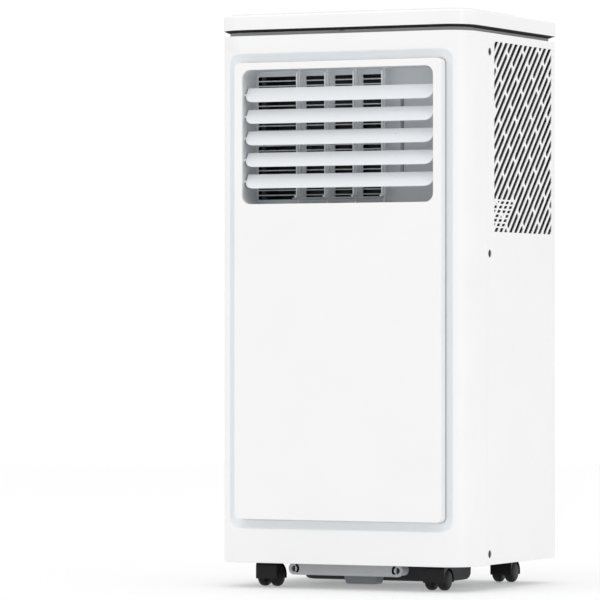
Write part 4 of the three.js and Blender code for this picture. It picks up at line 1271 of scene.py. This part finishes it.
@dataclass
class Louvres:
    """Five tilting blades with round lower corners, and the bar that joins them."""

    pivot_y: float = -132.5
    pivots: tuple[float, ...] = (573.3, 548.2, 523.1, 498.0, 472.9)
    chord: float = 19.8
    half_span: float = 119.5
    thickness: float = 2.2
    corner: float = 9.5
    tilt: float = math.radians(34.0)
    pin: float = 1.3
    pin_end: float = 123.0
    crown: float = 0.3
    edge: float = 0.9
    tab_x: tuple[float, float] = (69.7, 71.7)
    reach: float = 15.0
    link_x: tuple[float, float] = (72.0, 74.5)
    link_half: float = 2.5

    def blade_point(self, z: float) -> Placer:
        """Places a blade's (x, along the blade, through it) for the blade whose pivot is at z."""
        sin, cos = math.sin(self.tilt), math.cos(self.tilt)

        def place(u: float, v: float, height: float) -> Vector:
            bow = height + self.crown * (1 - (2 * v / self.chord) ** 2) - self.crown * 0.5
            return Vector((u, self.pivot_y + v * sin - bow * cos, z + v * cos + bow * sin))

        return place

    def build(self) -> None:
        """Builds each blade on its own body, then the link."""
        half = self.chord / 2
        for index, z in enumerate(self.pivots, 1):
            outline = self.blade_outline(half)
            shape = Shape()
            place = self.blade_point(z)
            loops = [(short, rise - self.thickness / 2) for short, rise in rounding(self.edge, 4)]
            loops += [(shrink, -height) for shrink, height in reversed(loops)]
            rings = [[place(u, v, h) for u, v in inset(outline, shrink)] for shrink, h in loops]
            shape.loft(rings, caps=False)
            for ring in (rings[0], rings[-1]):
                self.fill_across(shape, ring)
            for sign in (-1, 1):
                start, end = sorted((sign * (self.half_span - 3), sign * self.pin_end))
                shape.turned(rod(self.pin, start, end), Axis.X, (self.pivot_y, z), steps=16)
            self.add_tab(shape, z)
            name = f"louvre_{index}"
            add_piece(f"{name}_blade", shape, LOUVRE_ABS, name, [name], 50)
        self.build_link()

    def blade_outline(self, half: float) -> Outline:
        """The blade's outline as two matched halves, so that strips can be laid across it."""
        lefts: Outline = []
        rows = 16
        for row in range(rows + 1):
            v = half - self.chord * row / rows
            drop = max(0.0, self.corner - (v + half))
            shift = self.corner - math.sqrt(max(self.corner**2 - drop**2, 0.0)) if drop > 0 else 0.0
            lefts.append((-self.half_span + shift, v))
        rights = [(-u, v) for u, v in reversed(lefts)]
        return lefts + rights

    def fill_across(self, shape: Shape, ring: list[Vector]) -> None:
        """Closes a blade's face with strips that follow its crown."""
        verts = [shape.bm.verts.new(point * MM) for point in ring]
        count = len(verts)
        for row in range(count // 2 - 1):
            shape.bm.faces.new((verts[row], verts[row + 1], verts[count - 2 - row], verts[count - 1 - row]))

    def pin_place(self, z: float) -> tuple[float, float]:
        """Where the link's pin is for a blade, in y and z."""
        turn = self.tilt / 2
        return self.pivot_y + self.reach * math.cos(turn), z + self.reach * math.sin(turn)

    def add_tab(self, shape: Shape, z: float) -> None:
        """Adds the tab that holds the link's pin behind a blade."""
        pin_y, pin_z = self.pin_place(z)
        dy, dz = pin_y - self.pivot_y, pin_z - z
        angle = math.atan2(dz, dy)
        outline = capsule((self.pivot_y + pin_y) / 2 + 0.5, (z + pin_z) / 2, self.reach + 4, 5.0, angle)
        shape.plate(outline, Axis.X.place, *self.tab_x, (), 0.3, 0.3, 2)
        root, tip = self.tab_x[1] - 0.5, self.link_x[1] + 0.4
        section = [(0.0, root), (1.2, root), (1.2, tip), (0.0, tip + 0.2)]
        shape.turned(section, Axis.X, (pin_y, pin_z), steps=12)

    def build_link(self) -> None:
        """Builds the bar with a round eye at each pin."""
        top_y, top_z = self.pin_place(self.pivots[0])
        _, low_z = self.pin_place(self.pivots[-1])
        half = self.link_half
        outline = rounded(top_y - half, top_y + half, low_z - half - 0.8, top_z + half + 0.8, half - 0.1, 6)
        holes = [circle(top_y, self.pin_place(z)[1], 1.6, 12) for z in self.pivots]
        shape = Shape().plate(outline, Axis.X.place, *self.link_x, holes, 0.3, 0.3, 2)
        add_piece("louvre_link_bar", shape, GREY_PP, "louvre_link", ["louvre_link"])


@dataclass
class Vanes:
    """Four upright vanes that steer the air sideways, and their link."""

    places: tuple[float, ...] = (-62.6, -26.3, 10.0, 46.3)
    y: float = -109.7
    chord: float = 14.0
    thickness: float = 1.6
    low: float = 454.3
    high: float = 600.3
    arm_y: float = -118.5
    pin: tuple[float, float, float] = (1.5, 444.9, 604.0)
    arm_pin: tuple[float, float, float] = (1.0, 452.2, 455.0)
    link_z: Point = (452.0, 454.0)
    link_half: float = 2.5

    def build(self) -> None:
        """Builds each vane on its own body, then the link."""
        half, skin = self.chord / 2, self.thickness / 2
        for index, x in enumerate(self.places, 1):
            name = f"guide_vane_{index}"
            outline = rounded(self.y - half, self.y + half, self.low, self.high, 2.0, 4)
            shape = Shape().plate(outline, Axis.X.place, x - skin, x + skin, (), 0.7, 0.7, 3)
            shape.turned(rod(*self.pin), Axis.Z, (x, self.y), steps=12)
            shape.block((x - 1.2, self.arm_y - 1.2, self.low), (x + 1.2, self.y, self.low + 1.8), 0.3)
            shape.turned(rod(*self.arm_pin), Axis.Z, (x, self.arm_y), steps=10)
            add_piece(f"{name}_blade", shape, LOUVRE_ABS, name, [name])
        low, high = self.arm_y - self.link_half, self.arm_y + self.link_half
        outline = rounded(self.places[0] - 4, self.places[-1] + 4, low, high, 2.4, 5)
        holes = [circle(x, self.arm_y, 1.3, 12) for x in self.places]
        link = Shape().plate(outline, Axis.Z.place, *self.link_z, holes, 0.3, 0.3, 2)
        add_piece("vane_link_bar", link, GREY_PP, "vane_link", ["vane_link"])


# ---------------------------------------------------------------------------
# Top
# ---------------------------------------------------------------------------


@dataclass
class Neck:
    """The band between the cabinet and its lid, grey as painted shade, standing on a flange."""

    inset: float = 7.0
    wall: float = 3.0
    low: float = 638.5
    high: float = 650.2
    lens_half: Point = (4.8, 1.55)
    lens_z: float = 647.45

    def build(self) -> None:
        """Builds the band and the remote's receiver window."""
        sections = [
            (self.inset + self.wall, self.low),
            (2.8, self.low),
            (2.8, self.low + 1.6),
            (3.2, self.low + 2.0),
            (self.inset - 0.8, self.low + 2.0),
            (self.inset, self.low + 2.8),
            (self.inset, self.high),
            (self.inset + self.wall, self.high),
        ]
        shape = Shape().loft(CABINET.band(sections), ring=True)
        # The band's grey is painted shade for the shadowed gap under the lid.
        add_piece("neck_band", shape, NECK_PAINTED_SHADE, replaces=["neck_ring"])
        low, high = box_mm("receiver_lens")
        (across, tall), centre_z = self.lens_half, self.lens_z
        rings = []
        for share in (0.0, 0.35, 0.65, 0.85, 0.96, 1.0):
            size = math.sqrt(1 - share**2) if share < 1 else 0.05
            oval = [(across * size * u, centre_z + tall * size * v) for u, v in circle(0.0, 0.0, 1.0, 24)]
            rings.append((oval, high.y + (low.y - high.y) * share))
        lens = Shape().loft(lifted(Axis.Y, rings))
        add_piece("receiver_window", lens, SMOKED_ACRYLIC, replaces=["receiver_lens"])


@dataclass
class Lid:
    """The lid: a slab with soft edges that overhangs the cabinet by a little."""

    overhang: float = 0.8
    low: float = 649.3
    high: float = 666.3
    top_edge: float = 2.6
    low_edge: float = 0.5

    def build(self) -> None:
        """Builds the lid as a ring round the console's opening."""
        opening = rounded(-148.0, 148.0, -122.5, 29.5, (21.0, 21.0, 3.0, 3.0), 14, (8, 8))
        low, high, out = self.low, self.high, -self.overhang
        loops = [(opening, low + 3.0), (CABINET.plan(1.4), low + 3.0), (CABINET.plan(0.6), low)]
        loops += [(CABINET.plan(out + short), low + rise) for short, rise in rounding(self.low_edge, 3)]
        crown = reversed(rounding(self.top_edge, 6))
        loops += [(CABINET.plan(out + short), high - drop) for short, drop in crown]
        loops.append((opening, high))
        shape = Shape().loft(lifted(Axis.Z, loops), ring=True)
        add_piece("lid_shell", shape, LID_ABS, replaces=["top_cover"])
        # A black tray under the lid's rim: painted shade for the dark gap under the overhang.
        rings = [(12.0, low + 2.4), (1.7, low + 2.4), (0.5, low + 0.9), (0.1, low - 0.1)]
        rings += [(0.6, low - 0.4), (6.7, low - 2.7), (9.0, low - 2.9), (12.0, low - 1.0)]
        tray = Shape().loft(CABINET.band(rings), ring=True)
        add_piece("lid_underside_shade_sheet", tray, LID_UNDERSIDE_PAINTED_SHADE)


class Glyph(Enum):
    """What a button's print shows."""

    POWER = 1
    MINUS = 2
    PLUS = 3
    FAN = 4
    TIMER = 5
    NIGHT = 6


@dataclass
class Console:
    """The control console: a low plinth with a smoked display and six push buttons."""

    half: float = 151.0
    front: float = -125.5
    rear: float = 32.5
    low: float = 664.0
    high: float = 669.1
    row_y: float = -46.5
    button_places: tuple[float, ...] = (-106.0, -76.0, -46.0, 46.0, 76.0, 106.0)
    button_radius: float = 8.0
    button_top: float = 669.7
    display_half: Point = (31.0, 13.0)
    glass_z: Point = (666.2, 668.7)
    digits_z: Point = (668.6, 668.8)
    digit_x: Point = (-6.5, 6.5)
    segments: dict[str, str] = field(default_factory=lambda: {"2": "abged", "4": "fgbc"})

    def build(self) -> None:
        """Builds the plinth, its display and its buttons."""
        outline = rounded(-self.half, self.half, self.front, self.rear, (24.0, 24.0, 6.0, 6.0), 14, (4, 4))
        holes = [circle(x, self.row_y, self.button_radius + 0.4, 40) for x in self.button_places]
        dx, dy = self.display_half
        holes.append(rounded(-dx - 0.3, dx + 0.3, self.row_y - dy - 0.3, self.row_y + dy + 0.3, 3.0, 6))
        shape = Shape().plate(outline, Axis.Z.place, self.low, self.high, holes, 0.3, 0.9, 4)
        add_piece("console_plinth", shape, LID_ABS, replaces=["control_console"])
        glass_outline = rounded(-dx, dx, self.row_y - dy, self.row_y + dy, 2.7, 6)
        glass = Shape().plate(glass_outline, Axis.Z.place, *self.glass_z, (), 0.2, 0.5, 3)
        add_piece("display_glass", glass, SMOKED_ACRYLIC, replaces=["display_window"])
        self.build_digits()
        for index, (x, glyph) in enumerate(zip(self.button_places, Glyph), 1):
            self.build_button(index, x, glyph)

    def build_digits(self) -> None:
        """Builds two seven-segment digits just over the glass."""
        shape = Shape()
        spots = {"a": (0, 6.6, 0), "g": (0, 0, 0), "d": (0, -6.6, 0), "b": (3.6, 3.3, 1)}
        spots |= {"c": (3.6, -3.3, 1), "e": (-3.6, -3.3, 1), "f": (-3.6, 3.3, 1)}
        for centre, digit in zip(self.digit_x, self.segments):
            for letter in self.segments[digit]:
                du, dv, upright = spots[letter]
                slant = 0.5 * math.pi if upright else 0.0
                bar = capsule(centre + du, self.row_y + dv, 5.6, 1.1, slant, 3)
                shape.plate(bar, Axis.Z.place, *self.digits_z, (), 0.05, 0.05, 1)
        add_piece("display_digits", shape, DISPLAY_GLOW)

    def build_button(self, index: int, x: float, glyph: Glyph) -> None:
        """Builds a dished push button and its printed sign."""
        name = f"button_{index}"
        top, radius = self.button_top, self.button_radius
        section = [(0.0, 664.7), (radius, 664.7), (radius, top - 1.1), (radius - 0.4, top - 0.35)]
        section += [(radius - 1.2, top), (radius - 2.2, top - 0.12), (radius - 4.2, top - 0.25)]
        section.append((0.0, top - 0.3))
        cap = Shape().turned(section, Axis.Z, (x, self.row_y), steps=48)
        add_piece(f"{name}_cap", cap, LID_ABS, name, [name])
        sign = Shape()
        for outline, holes in self.glyph_outlines(glyph, x, self.row_y):
            sign.plate(outline, Axis.Z.place, top - 0.5, top - 0.16, holes, 0.03, 0.03, 1)
        add_piece(f"{name}_sign", sign, SIGN_PRINT, name)

    def glyph_outlines(self, glyph: Glyph, x: float, y: float) -> list[tuple[Outline, list[Outline]]]:
        """The outlines of a sign, each with its holes."""
        bar = capsule(x, y, 5.2, 0.9, 0.0, 3)
        ring = (circle(x, y, 2.8, 28), [circle(x, y, 2.1, 28)])
        if glyph is Glyph.POWER:
            return [ring, (capsule(x, y + 2.6, 3.0, 0.9, 0.5 * math.pi, 3), [])]
        if glyph is Glyph.MINUS:
            return [(bar, [])]
        if glyph is Glyph.PLUS:
            cross = [(-0.45, -2.6), (0.45, -2.6), (0.45, -0.45), (2.6, -0.45), (2.6, 0.45), (0.45, 0.45)]
            cross += [(0.45, 2.6), (-0.45, 2.6), (-0.45, 0.45), (-2.6, 0.45), (-2.6, -0.45), (-0.45, -0.45)]
            return [([(x + u, y + v) for u, v in cross], [])]
        if glyph is Glyph.FAN:
            turns = [0.5 * math.pi + 2 * math.pi * step / 3 for step in range(3)]
            spots = [(x + 1.6 * math.cos(turn), y + 1.6 * math.sin(turn), turn) for turn in turns]
            return [(capsule(u, v, 2.6, 1.4, turn, 4), []) for u, v, turn in spots]
        if glyph is Glyph.TIMER:
            return [ring, (capsule(x, y + 0.8, 1.9, 0.6, 0.5 * math.pi, 3), [])]
        outer = [math.radians(angle) for angle in range(60, 301, 15)]
        inner = [math.radians(angle) for angle in range(270, 89, -15)]
        arc = [(2.8 * math.cos(turn), 2.8 * math.sin(turn)) for turn in outer]
        back = [(1.4 + 2.4 * math.cos(turn), 2.4 * math.sin(turn)) for turn in inner]
        return [([(x + u, y + v) for u, v in arc + back], [])]


# ---------------------------------------------------------------------------
# Underside
# ---------------------------------------------------------------------------


@dataclass
class Castor:
    """A twin-wheel castor: a hood on a stem, and two domed wheels on one axle."""

    name: str
    x: float
    y: float
    trail: float = 6.0
    radius: float = 12.5
    hood_radius: float = 14.0
    half_width: float = 13.5
    hood_overlap: float = math.radians(14.0)
    hood_crown: float = math.radians(62.0)
    hollow_gap: float = 0.45
    wheel_profile: tuple[Point, ...] = (
        (0.0, 2.6), (8.0, 2.6), (10.6, 3.1), (11.8, 4.3), (12.4, 6.2), (12.5, 8.2),
        (12.3, 10.2), (11.6, 11.8), (10.2, 13.0), (7.6, 13.8), (4.0, 14.1), (0.0, 14.2),
    )

    def hood_outline(self) -> Outline:
        """The hood's side view: a flat front and crown, a round back, and a round hollow for the wheels."""
        axle_y, r, low = self.y + self.trail, self.hood_radius, self.hood_overlap
        outline: Outline = [(-r + 0.3, self.radius - r * math.sin(low)), (-r, self.radius), (-r, 24.4)]
        outline += [(-r + 0.5, 26.4), (-r + 1.8, 27.6), (-r + 3.4, 28.0), (0.6, 28.0), (3.2, 27.5)]
        for step in range(12):
            turn = self.hood_crown + (-low - self.hood_crown) * step / 11
            outline.append((r * math.cos(turn), self.radius + r * math.sin(turn)))
        hollow = self.radius + self.hollow_gap
        for step in range(25):
            turn = -low + (math.pi + 2 * low) * step / 24
            outline.append((hollow * math.cos(turn), self.radius + hollow * math.sin(turn)))
        return [(axle_y + y, z) for y, z in outline]

    def build(self) -> None:
        """Builds the hood on its body and the wheels on theirs."""
        axle = (self.y + self.trail, self.radius)
        low, high = self.x - self.half_width, self.x + self.half_width
        hood = Shape().plate(self.hood_outline()[::-1], Axis.X.place, low, high, (), 0.4, 0.4, 2)
        web = [(2.2, self.x - 2.4), (13.2, self.x - 2.4), (13.2, self.x + 2.4), (2.2, self.x + 2.4)]
        hood.turned(web, Axis.X, axle, -4.0, 184.0, 32)
        stem = [(0.0, 26.4), (7.4, 26.4), (7.4, 28.4), (4.5, 28.8), (4.5, 44.6), (3.6, 45.8), (0.0, 45.8)]
        hood.turned(stem, Axis.Z, (self.x, self.y), steps=28)
        name = f"castor_hood_{self.name}"
        add_piece(f"{name}_shell", hood, CHARCOAL_NYLON, name, [name])
        wheels = Shape()
        for sign in (-1, 1):
            section = [(radius, self.x + sign * height) for radius, height in self.wheel_profile]
            wheels.turned(section, Axis.X, axle, steps=48)
        wheels.turned(rod(1.8, self.x - 4.0, self.x + 4.0), Axis.X, axle, steps=16)
        name = f"castor_wheels_{self.name}"
        add_piece(f"{name}_pair", wheels, WHEEL_TYRE, name, [name])


@dataclass
class Base:
    """The base pan with its front rail and bosses, the condensate tray and the drain block."""

    rail_half: float = 58.5
    boss_x: float = 65.7
    boss_z: float = 22.5
    boss_radius: float = 7.2

    def build(self) -> None:
        """Builds the pan, the tray and the drain block."""
        rings = [(5.0, 29.2), (3.6, 29.6), (3.0, 30.6), (2.8, 50.4), (3.2, 51.0), (5.3, 51.0), (5.3, 32.0)]
        pan = Shape().loft(CABINET.band(rings))
        rail = rounded(-116.5, -106.5, 15.2, 29.6, (3.0, 2.0, 1.0, 1.0), 5)
        pan.plate(rail, Axis.X.place, -self.rail_half - 6, self.rail_half + 6, (), 0.6, 0.6)
        for sign in (-1, 1):
            self.add_boss(pan, sign * self.boss_x)
        add_piece("base_pan_skin", pan, PALE_PP, replaces=["base_pan"])
        self.build_screws()
        rings = [(6.0, 6.2), (3.4, 7.0), (1.8, 8.8), (0.5, 13.0), (0.0, 27.6), (0.0, 28.6)]
        rings += [(2.8, 28.6), (4.6, 9.8)]
        self.build_cup("condensate_tray", "skin", rings, 10.0, 8, DARK_PP)
        rings = [(3.2, 3.8), (2.0, 4.2), (1.4, 5.2), (0.0, 12.0), (0.0, 28.0), (0.4, 28.6)]
        self.build_cup("bottom_drain", "block", rings, 2.0, 4, GREY_PP)

    def build_cup(
        self,
        node: str,
        ending: str,
        rings: Sequence[Point],
        corner: float,
        steps: int,
        finish: Finish,
    ) -> None:
        """Builds a tapered box in a node's place.

        Args:
            node: the frame's node.
            ending: what the piece's name adds to the node's.
            rings: (distance in from the node's box, height) points, from the bottom up and over its rim.
            corner: the radius of its upright corners.
            steps: the segments in each corner.
            finish: its finish.
        """
        low, high = box_mm(node)
        outlines = [
            (rounded(low.x + by, high.x - by, low.y + by, high.y - by, corner, steps), z) for by, z in rings
        ]
        add_piece(f"{node}_{ending}", Shape().loft(lifted(Axis.Z, outlines)), finish, replaces=[node])

    def add_boss(self, shape: Shape, x: float) -> None:
        """Adds a screw boss: a flanged ring with a stepped bore, along y."""
        r = self.boss_radius
        section = [(2.6, -96.5), (r - 1.2, -96.5), (r - 1.2, -113.0), (r, -113.6), (r, -116.0)]
        section += [(r - 0.5, -116.5), (3.9, -116.5), (3.5, -116.1), (3.4, -111.0), (2.6, -110.6)]
        shape.turned(section, Axis.Y, (x, self.boss_z), steps=36)

    def build_screws(self) -> None:
        """Builds the dark screw in each boss."""
        shape = Shape()
        for sign in (-1, 1):
            section = [(0.0, -108.0), (3.2, -108.0), (3.2, -112.2), (2.4, -113.0), (1.2, -113.0)]
            section += [(0.8, -112.0), (0.0, -112.0)]
            shape.turned(section, Axis.Y, (sign * self.boss_x, self.boss_z), steps=20)
        add_piece("base_boss_screws", shape, SCREW_STEEL)


# ---------------------------------------------------------------------------
# Back
# ---------------------------------------------------------------------------


@dataclass
class BackFittings:
    """What stands on the back: exhaust collar, filter cassette, drain and cord gland."""

    exhaust: Point = (-50.0, 322.0)
    collar_radius: float = 68.0
    collar_wall: float = 3.0
    guard_y: Point = (134.8, 136.8)
    guard_half: float = 1.5
    guard_offsets: tuple[float, ...] = (-34.0, 0.0, 34.0)
    cassette_windows: tuple[int, int] = (9, 6)
    rib: float = 3.0
    border: float = 6.0
    lattice_y: Point = (130.6, 134.2)
    net_y: Point = (129.4, 130.2)
    drain: Point = (118.0, 52.0)
    gland: Point = (128.0, 120.0)

    def build(self) -> None:
        """Builds each fitting."""
        self.build_collar()
        self.build_cassette()
        self.build_drain()
        self.build_gland()

    def build_collar(self) -> None:
        """Builds the ring that the exhaust hose twists on to, with its guard bars."""
        r, w = self.collar_radius, self.collar_wall
        section = [(r - w, 134.8), (r, 134.8), (r, 139.7), (r - 0.8, 140.5)]
        section += [(r - w + 0.8, 140.5), (r - w, 139.7)]
        shape = Shape().turned(section, Axis.Y, self.exhaust, steps=72)
        x, z = self.exhaust
        near, far = self.guard_y
        half = self.guard_half
        for offset in self.guard_offsets:
            reach = math.sqrt((r - w / 2) ** 2 - offset**2)
            shape.block((x - reach, near, z + offset - half), (x + reach, far, z + offset + half), 0.5)
        shape.block((x - half, near, z - r + w / 2), (x + half, far, z + r - w / 2), 0.5)
        lug = Vector((2.4, 1.4, 2.4))
        for degrees in (45, 135, 225, 315):
            turn, out = math.radians(degrees), r - w - 1.5
            centre = Vector((x + out * math.cos(turn), 137.6, z + out * math.sin(turn)))
            shape.block(tuple(centre - lug), tuple(centre + lug), 0.5)
        add_piece("exhaust_collar_ring", shape, WHITE_ABS, replaces=["exhaust_collar"])

    def build_cassette(self) -> None:
        """Builds the pull-out filter: a lattice over a woven net, with a finger tab."""
        low, high = box_mm("filter_cassette")
        columns, rows = self.cassette_windows
        holes = lattice((low.x, low.z), (high.x, high.z), columns, rows, self.rib, self.border, 2.0)
        del holes[columns // 2 * rows]
        outline = rounded(low.x, high.x, low.z, high.z, 2.5, 4)
        shape = Shape().plate(outline, Axis.Y.place, *self.lattice_y, holes, 0.4, 0.7)
        tab = rounded(-9.0, 9.0, low.z + 7.0, low.z + 20.0, 3.0, 5)
        shape.plate(tab, Axis.Y.place, 133.5, 134.5, (), 0.1, 0.4)
        body = "filter_cassette"
        add_piece("filter_cassette_lattice", shape, WHITE_ABS, body, [body])
        net_outline = rounded(low.x + 3, high.x - 3, low.z + 3, high.z - 3, 2.0, 3)
        net = Shape().plate(net_outline, Axis.Y.place, *self.net_y, (), 0.1, 0.1, 1)
        add_piece("filter_cassette_net", net, REAR_NET, body)

    def build_drain(self) -> None:
        """Builds the drain spout and its rubber plug with a pull ring."""
        port = [(4.2, 118.5), (8.6, 118.5), (8.6, 133.6), (8.2, 134.4), (5.2, 134.4), (4.2, 133.6)]
        shape = Shape().turned(port, Axis.Y, self.drain, steps=40)
        add_piece("drain_port_spout", shape, GREY_PP, replaces=["drain_port"])
        plug = [(0.0, 124.5), (3.6, 124.5), (4.0, 126.0), (4.0, 134.8), (8.2, 134.8), (8.5, 135.6)]
        plug += [(8.5, 136.8), (7.8, 137.6), (3.0, 138.0), (2.4, 140.1), (1.8, 140.5), (0.0, 140.5)]
        cap = Shape().turned(plug, Axis.Y, self.drain, steps=40)
        add_piece("drain_plug_cap", cap, BLACK_RUBBER, "drain_plug", ["drain_plug"])

    def build_gland(self) -> None:
        """Builds the strain relief that the power cord leaves by."""
        section = [(2.4, 128.0), (5.8, 128.0), (5.8, 134.5), (9.0, 134.6), (9.0, 136.2), (8.2, 137.2)]
        section += [(5.6, 137.6), (5.2, 140.1), (4.8, 140.5), (3.2, 140.5), (2.4, 139.8)]
        shape = Shape().turned(section, Axis.Y, self.gland, steps=36)
        add_piece("cord_gland_collar", shape, CHARCOAL_NYLON, replaces=["cord_gland"])


# ---------------------------------------------------------------------------
# Inside
# ---------------------------------------------------------------------------


@dataclass
class InnerWorks:
    """What the slots and the duct's grid let the eye reach: the frame's own pieces, dressed."""

    finishes: dict[str, tuple[Finish, str]] = field(
        default_factory=lambda: {
            "control_board": (GREEN_PCB, "charcoal_abs"),
            "drip_deck": (DARK_PP, "duct_abs"),
            "evaporator": (FIN_ALUMINIUM, "fin_aluminium"),
            "condenser": (FIN_ALUMINIUM, "fin_aluminium"),
            "upper_fan_case": (DARK_PP, "dark_tray"),
            "lower_fan_case": (DARK_PP, "dark_tray"),
            "upper_fan_motor": (ZINC_STEEL, "zinc_steel"),
            "lower_fan_motor": (ZINC_STEEL, "zinc_steel"),
            "upper_fan_wheel": (CHARCOAL_NYLON, "charcoal_abs"),
            "lower_fan_wheel": (CHARCOAL_NYLON, "charcoal_abs"),
            "compressor": (CHARCOAL_NYLON, "dark_tray"),
            "accumulator": (COPPER, "copper_tube"),
            "discharge_pipe": (COPPER, "copper_tube"),
            "power_box": (GREY_PP, "grey_pp"),
        }
    )

    def build(self) -> None:
        """Gives each piece its finish, and breaks its edges with a small bevel."""
        for name, (finish, slot) in self.finishes.items():
            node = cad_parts[name]
            node.data.materials.clear()
            node.data.materials.append(PALETTE[finish])
            bevel = node.modifiers.new("broken_edges", "BEVEL")
            bevel.width = 0.3 * MM
            bevel.segments = 2
            bevel.limit_method = "ANGLE"
            bevel.angle_limit = math.radians(50)
            LOG.info("node %s dressed in %s", name, finish.name)


# ---------------------------------------------------------------------------
# Studio
# ---------------------------------------------------------------------------


@dataclass
class AreaLight:
    """A soft box."""

    name: str
    place: tuple[float, float, float]
    aim: tuple[float, float, float]
    size: Point
    watts: float

    def build(self) -> None:
        """Adds the light."""
        data = bpy.data.lights.new(self.name, "AREA")
        data.shape = "RECTANGLE"
        data.size, data.size_y = self.size
        data.energy = self.watts
        lamp = bpy.data.objects.new(self.name, data)
        lamp.location = self.place
        lamp.rotation_euler = (Vector(self.aim) - Vector(self.place)).to_track_quat("-Z", "Y").to_euler()
        bpy.context.scene.collection.objects.link(lamp)


@dataclass
class Studio:
    """A white floor, soft boxes and the camera."""

    camera_place: tuple[float, float, float] = (2.2471, -4.9114, 0.2985)
    camera_turn: float = 25.676
    lens: float = 274.57
    shift_y: float = 0.052
    world_strength: float = 0.845
    backdrop_strength: float = 1.08
    sky_strength: float = 0.87
    sky_spread: float = 70.0
    lights: tuple[AreaLight, ...] = (
        AreaLight("key_left", (-2.2, -2.6, 1.9), (0.0, 0.0, 0.35), (1.8, 1.8), 9.0),
        AreaLight("strip_right", (2.3, -1.1, 0.7), (0.15, -0.1, 0.35), (0.28, 2.2), 6.0),
    )

    def build(self) -> None:
        """Builds the floor, the world, the lights and the camera."""
        self.build_floor()
        self.build_world()
        for light in self.lights:
            light.build()
        self.build_sky()
        self.build_camera()
        bpy.context.scene.view_settings.view_transform = "Standard"

    def build_floor(self) -> None:
        """Builds a round floor, its rim turned down."""
        rings = [(20.0, 0.0), (5000.0, 0.0), (5200.0, -20.0), (5200.0, -60.0), (20.0, -60.0)]
        shape = Shape().turned([(radius, z - 0.2) for radius, z in rings], Axis.Z, (0.0, 0.0), steps=96)
        lid = Shape().turned(rod(20.0, -0.2, -60.2), Axis.Z, (0.0, 0.0), steps=96)
        merge(shape, lid)
        floor = bpy.data.objects.new("studio_floor", shape.mesh("studio_floor"))
        floor.data.materials.append(PALETTE[FLOOR_PAINT])
        bpy.context.scene.collection.objects.link(floor)

    def build_world(self) -> None:
        """Lights the room evenly, and shows the backdrop a little brighter than it lights."""
        world = bpy.data.worlds.new("studio_world")
        bpy.context.scene.world = world
        world.use_nodes = True
        tree = world.node_tree
        tree.nodes.clear()
        white = linear("#FFFFFF")
        lighting, shown = [
            add_node(tree, "ShaderNodeBackground", {"Color": white, "Strength": strength}).outputs[0]
            for strength in (self.world_strength, self.backdrop_strength)
        ]
        ray = add_node(tree, "ShaderNodeLightPath").outputs["Is Camera Ray"]
        mixed = add_node(tree, "ShaderNodeMixShader", {0: ray, 1: lighting, 2: shown})
        add_node(tree, "ShaderNodeOutputWorld", {"Surface": mixed.outputs[0]})

    def build_sky(self) -> None:
        """Adds a wide light from straight above, which whitens the floor and leaves upright faces alone."""
        data = bpy.data.lights.new("sky_panel", "SUN")
        data.energy = self.sky_strength
        data.angle = math.radians(self.sky_spread)
        lamp = bpy.data.objects.new("sky_panel", data)
        lamp.location = (0.0, 0.0, 4.0)
        bpy.context.scene.collection.objects.link(lamp)

    def build_camera(self) -> None:
        """Adds the camera."""
        data = bpy.data.cameras.new("camera")
        data.lens = self.lens
        data.sensor_width = 36.0
        data.shift_y = self.shift_y
        data.dof.use_dof = False
        data.clip_end = 100.0
        camera = bpy.data.objects.new("camera", data)
        camera.location = self.camera_place
        camera.rotation_euler = (math.radians(90.0), 0.0, math.radians(self.camera_turn))
        bpy.context.scene.collection.objects.link(camera)
        bpy.context.scene.camera = camera


CASTOR_PLACE: Point = (107.0, 98.0)


def main() -> None:
    """Builds the object and its studio."""
    logging.basicConfig(level=logging.INFO, format="%(name)s: %(message)s")
    across, along = CASTOR_PLACE
    castors = [
        Castor(f"{end}_{side.name.lower()}", side.value * across, sign * along)
        for end, sign in (("front", -1), ("rear", 1))
        for side in Side
    ]
    assemblies: list[Any] = [
        FrontShell(),
        SidePanel(Side.RIGHT),
        SidePanel(Side.LEFT),
        FilterFrame(Side.RIGHT),
        FilterFrame(Side.LEFT),
        RearPanel(),
        OutletPanel(),
        OutletDuct(),
        Louvres(),
        Vanes(),
        Neck(),
        Lid(),
        Console(),
        Base(),
        *castors,
        BackFittings(),
        InnerWorks(),
        Studio(),
    ]
    for assembly in assemblies:
        LOG.info("building %s", type(assembly).__name__)
        assembly.build()


if __name__ == "__main__":
    main()
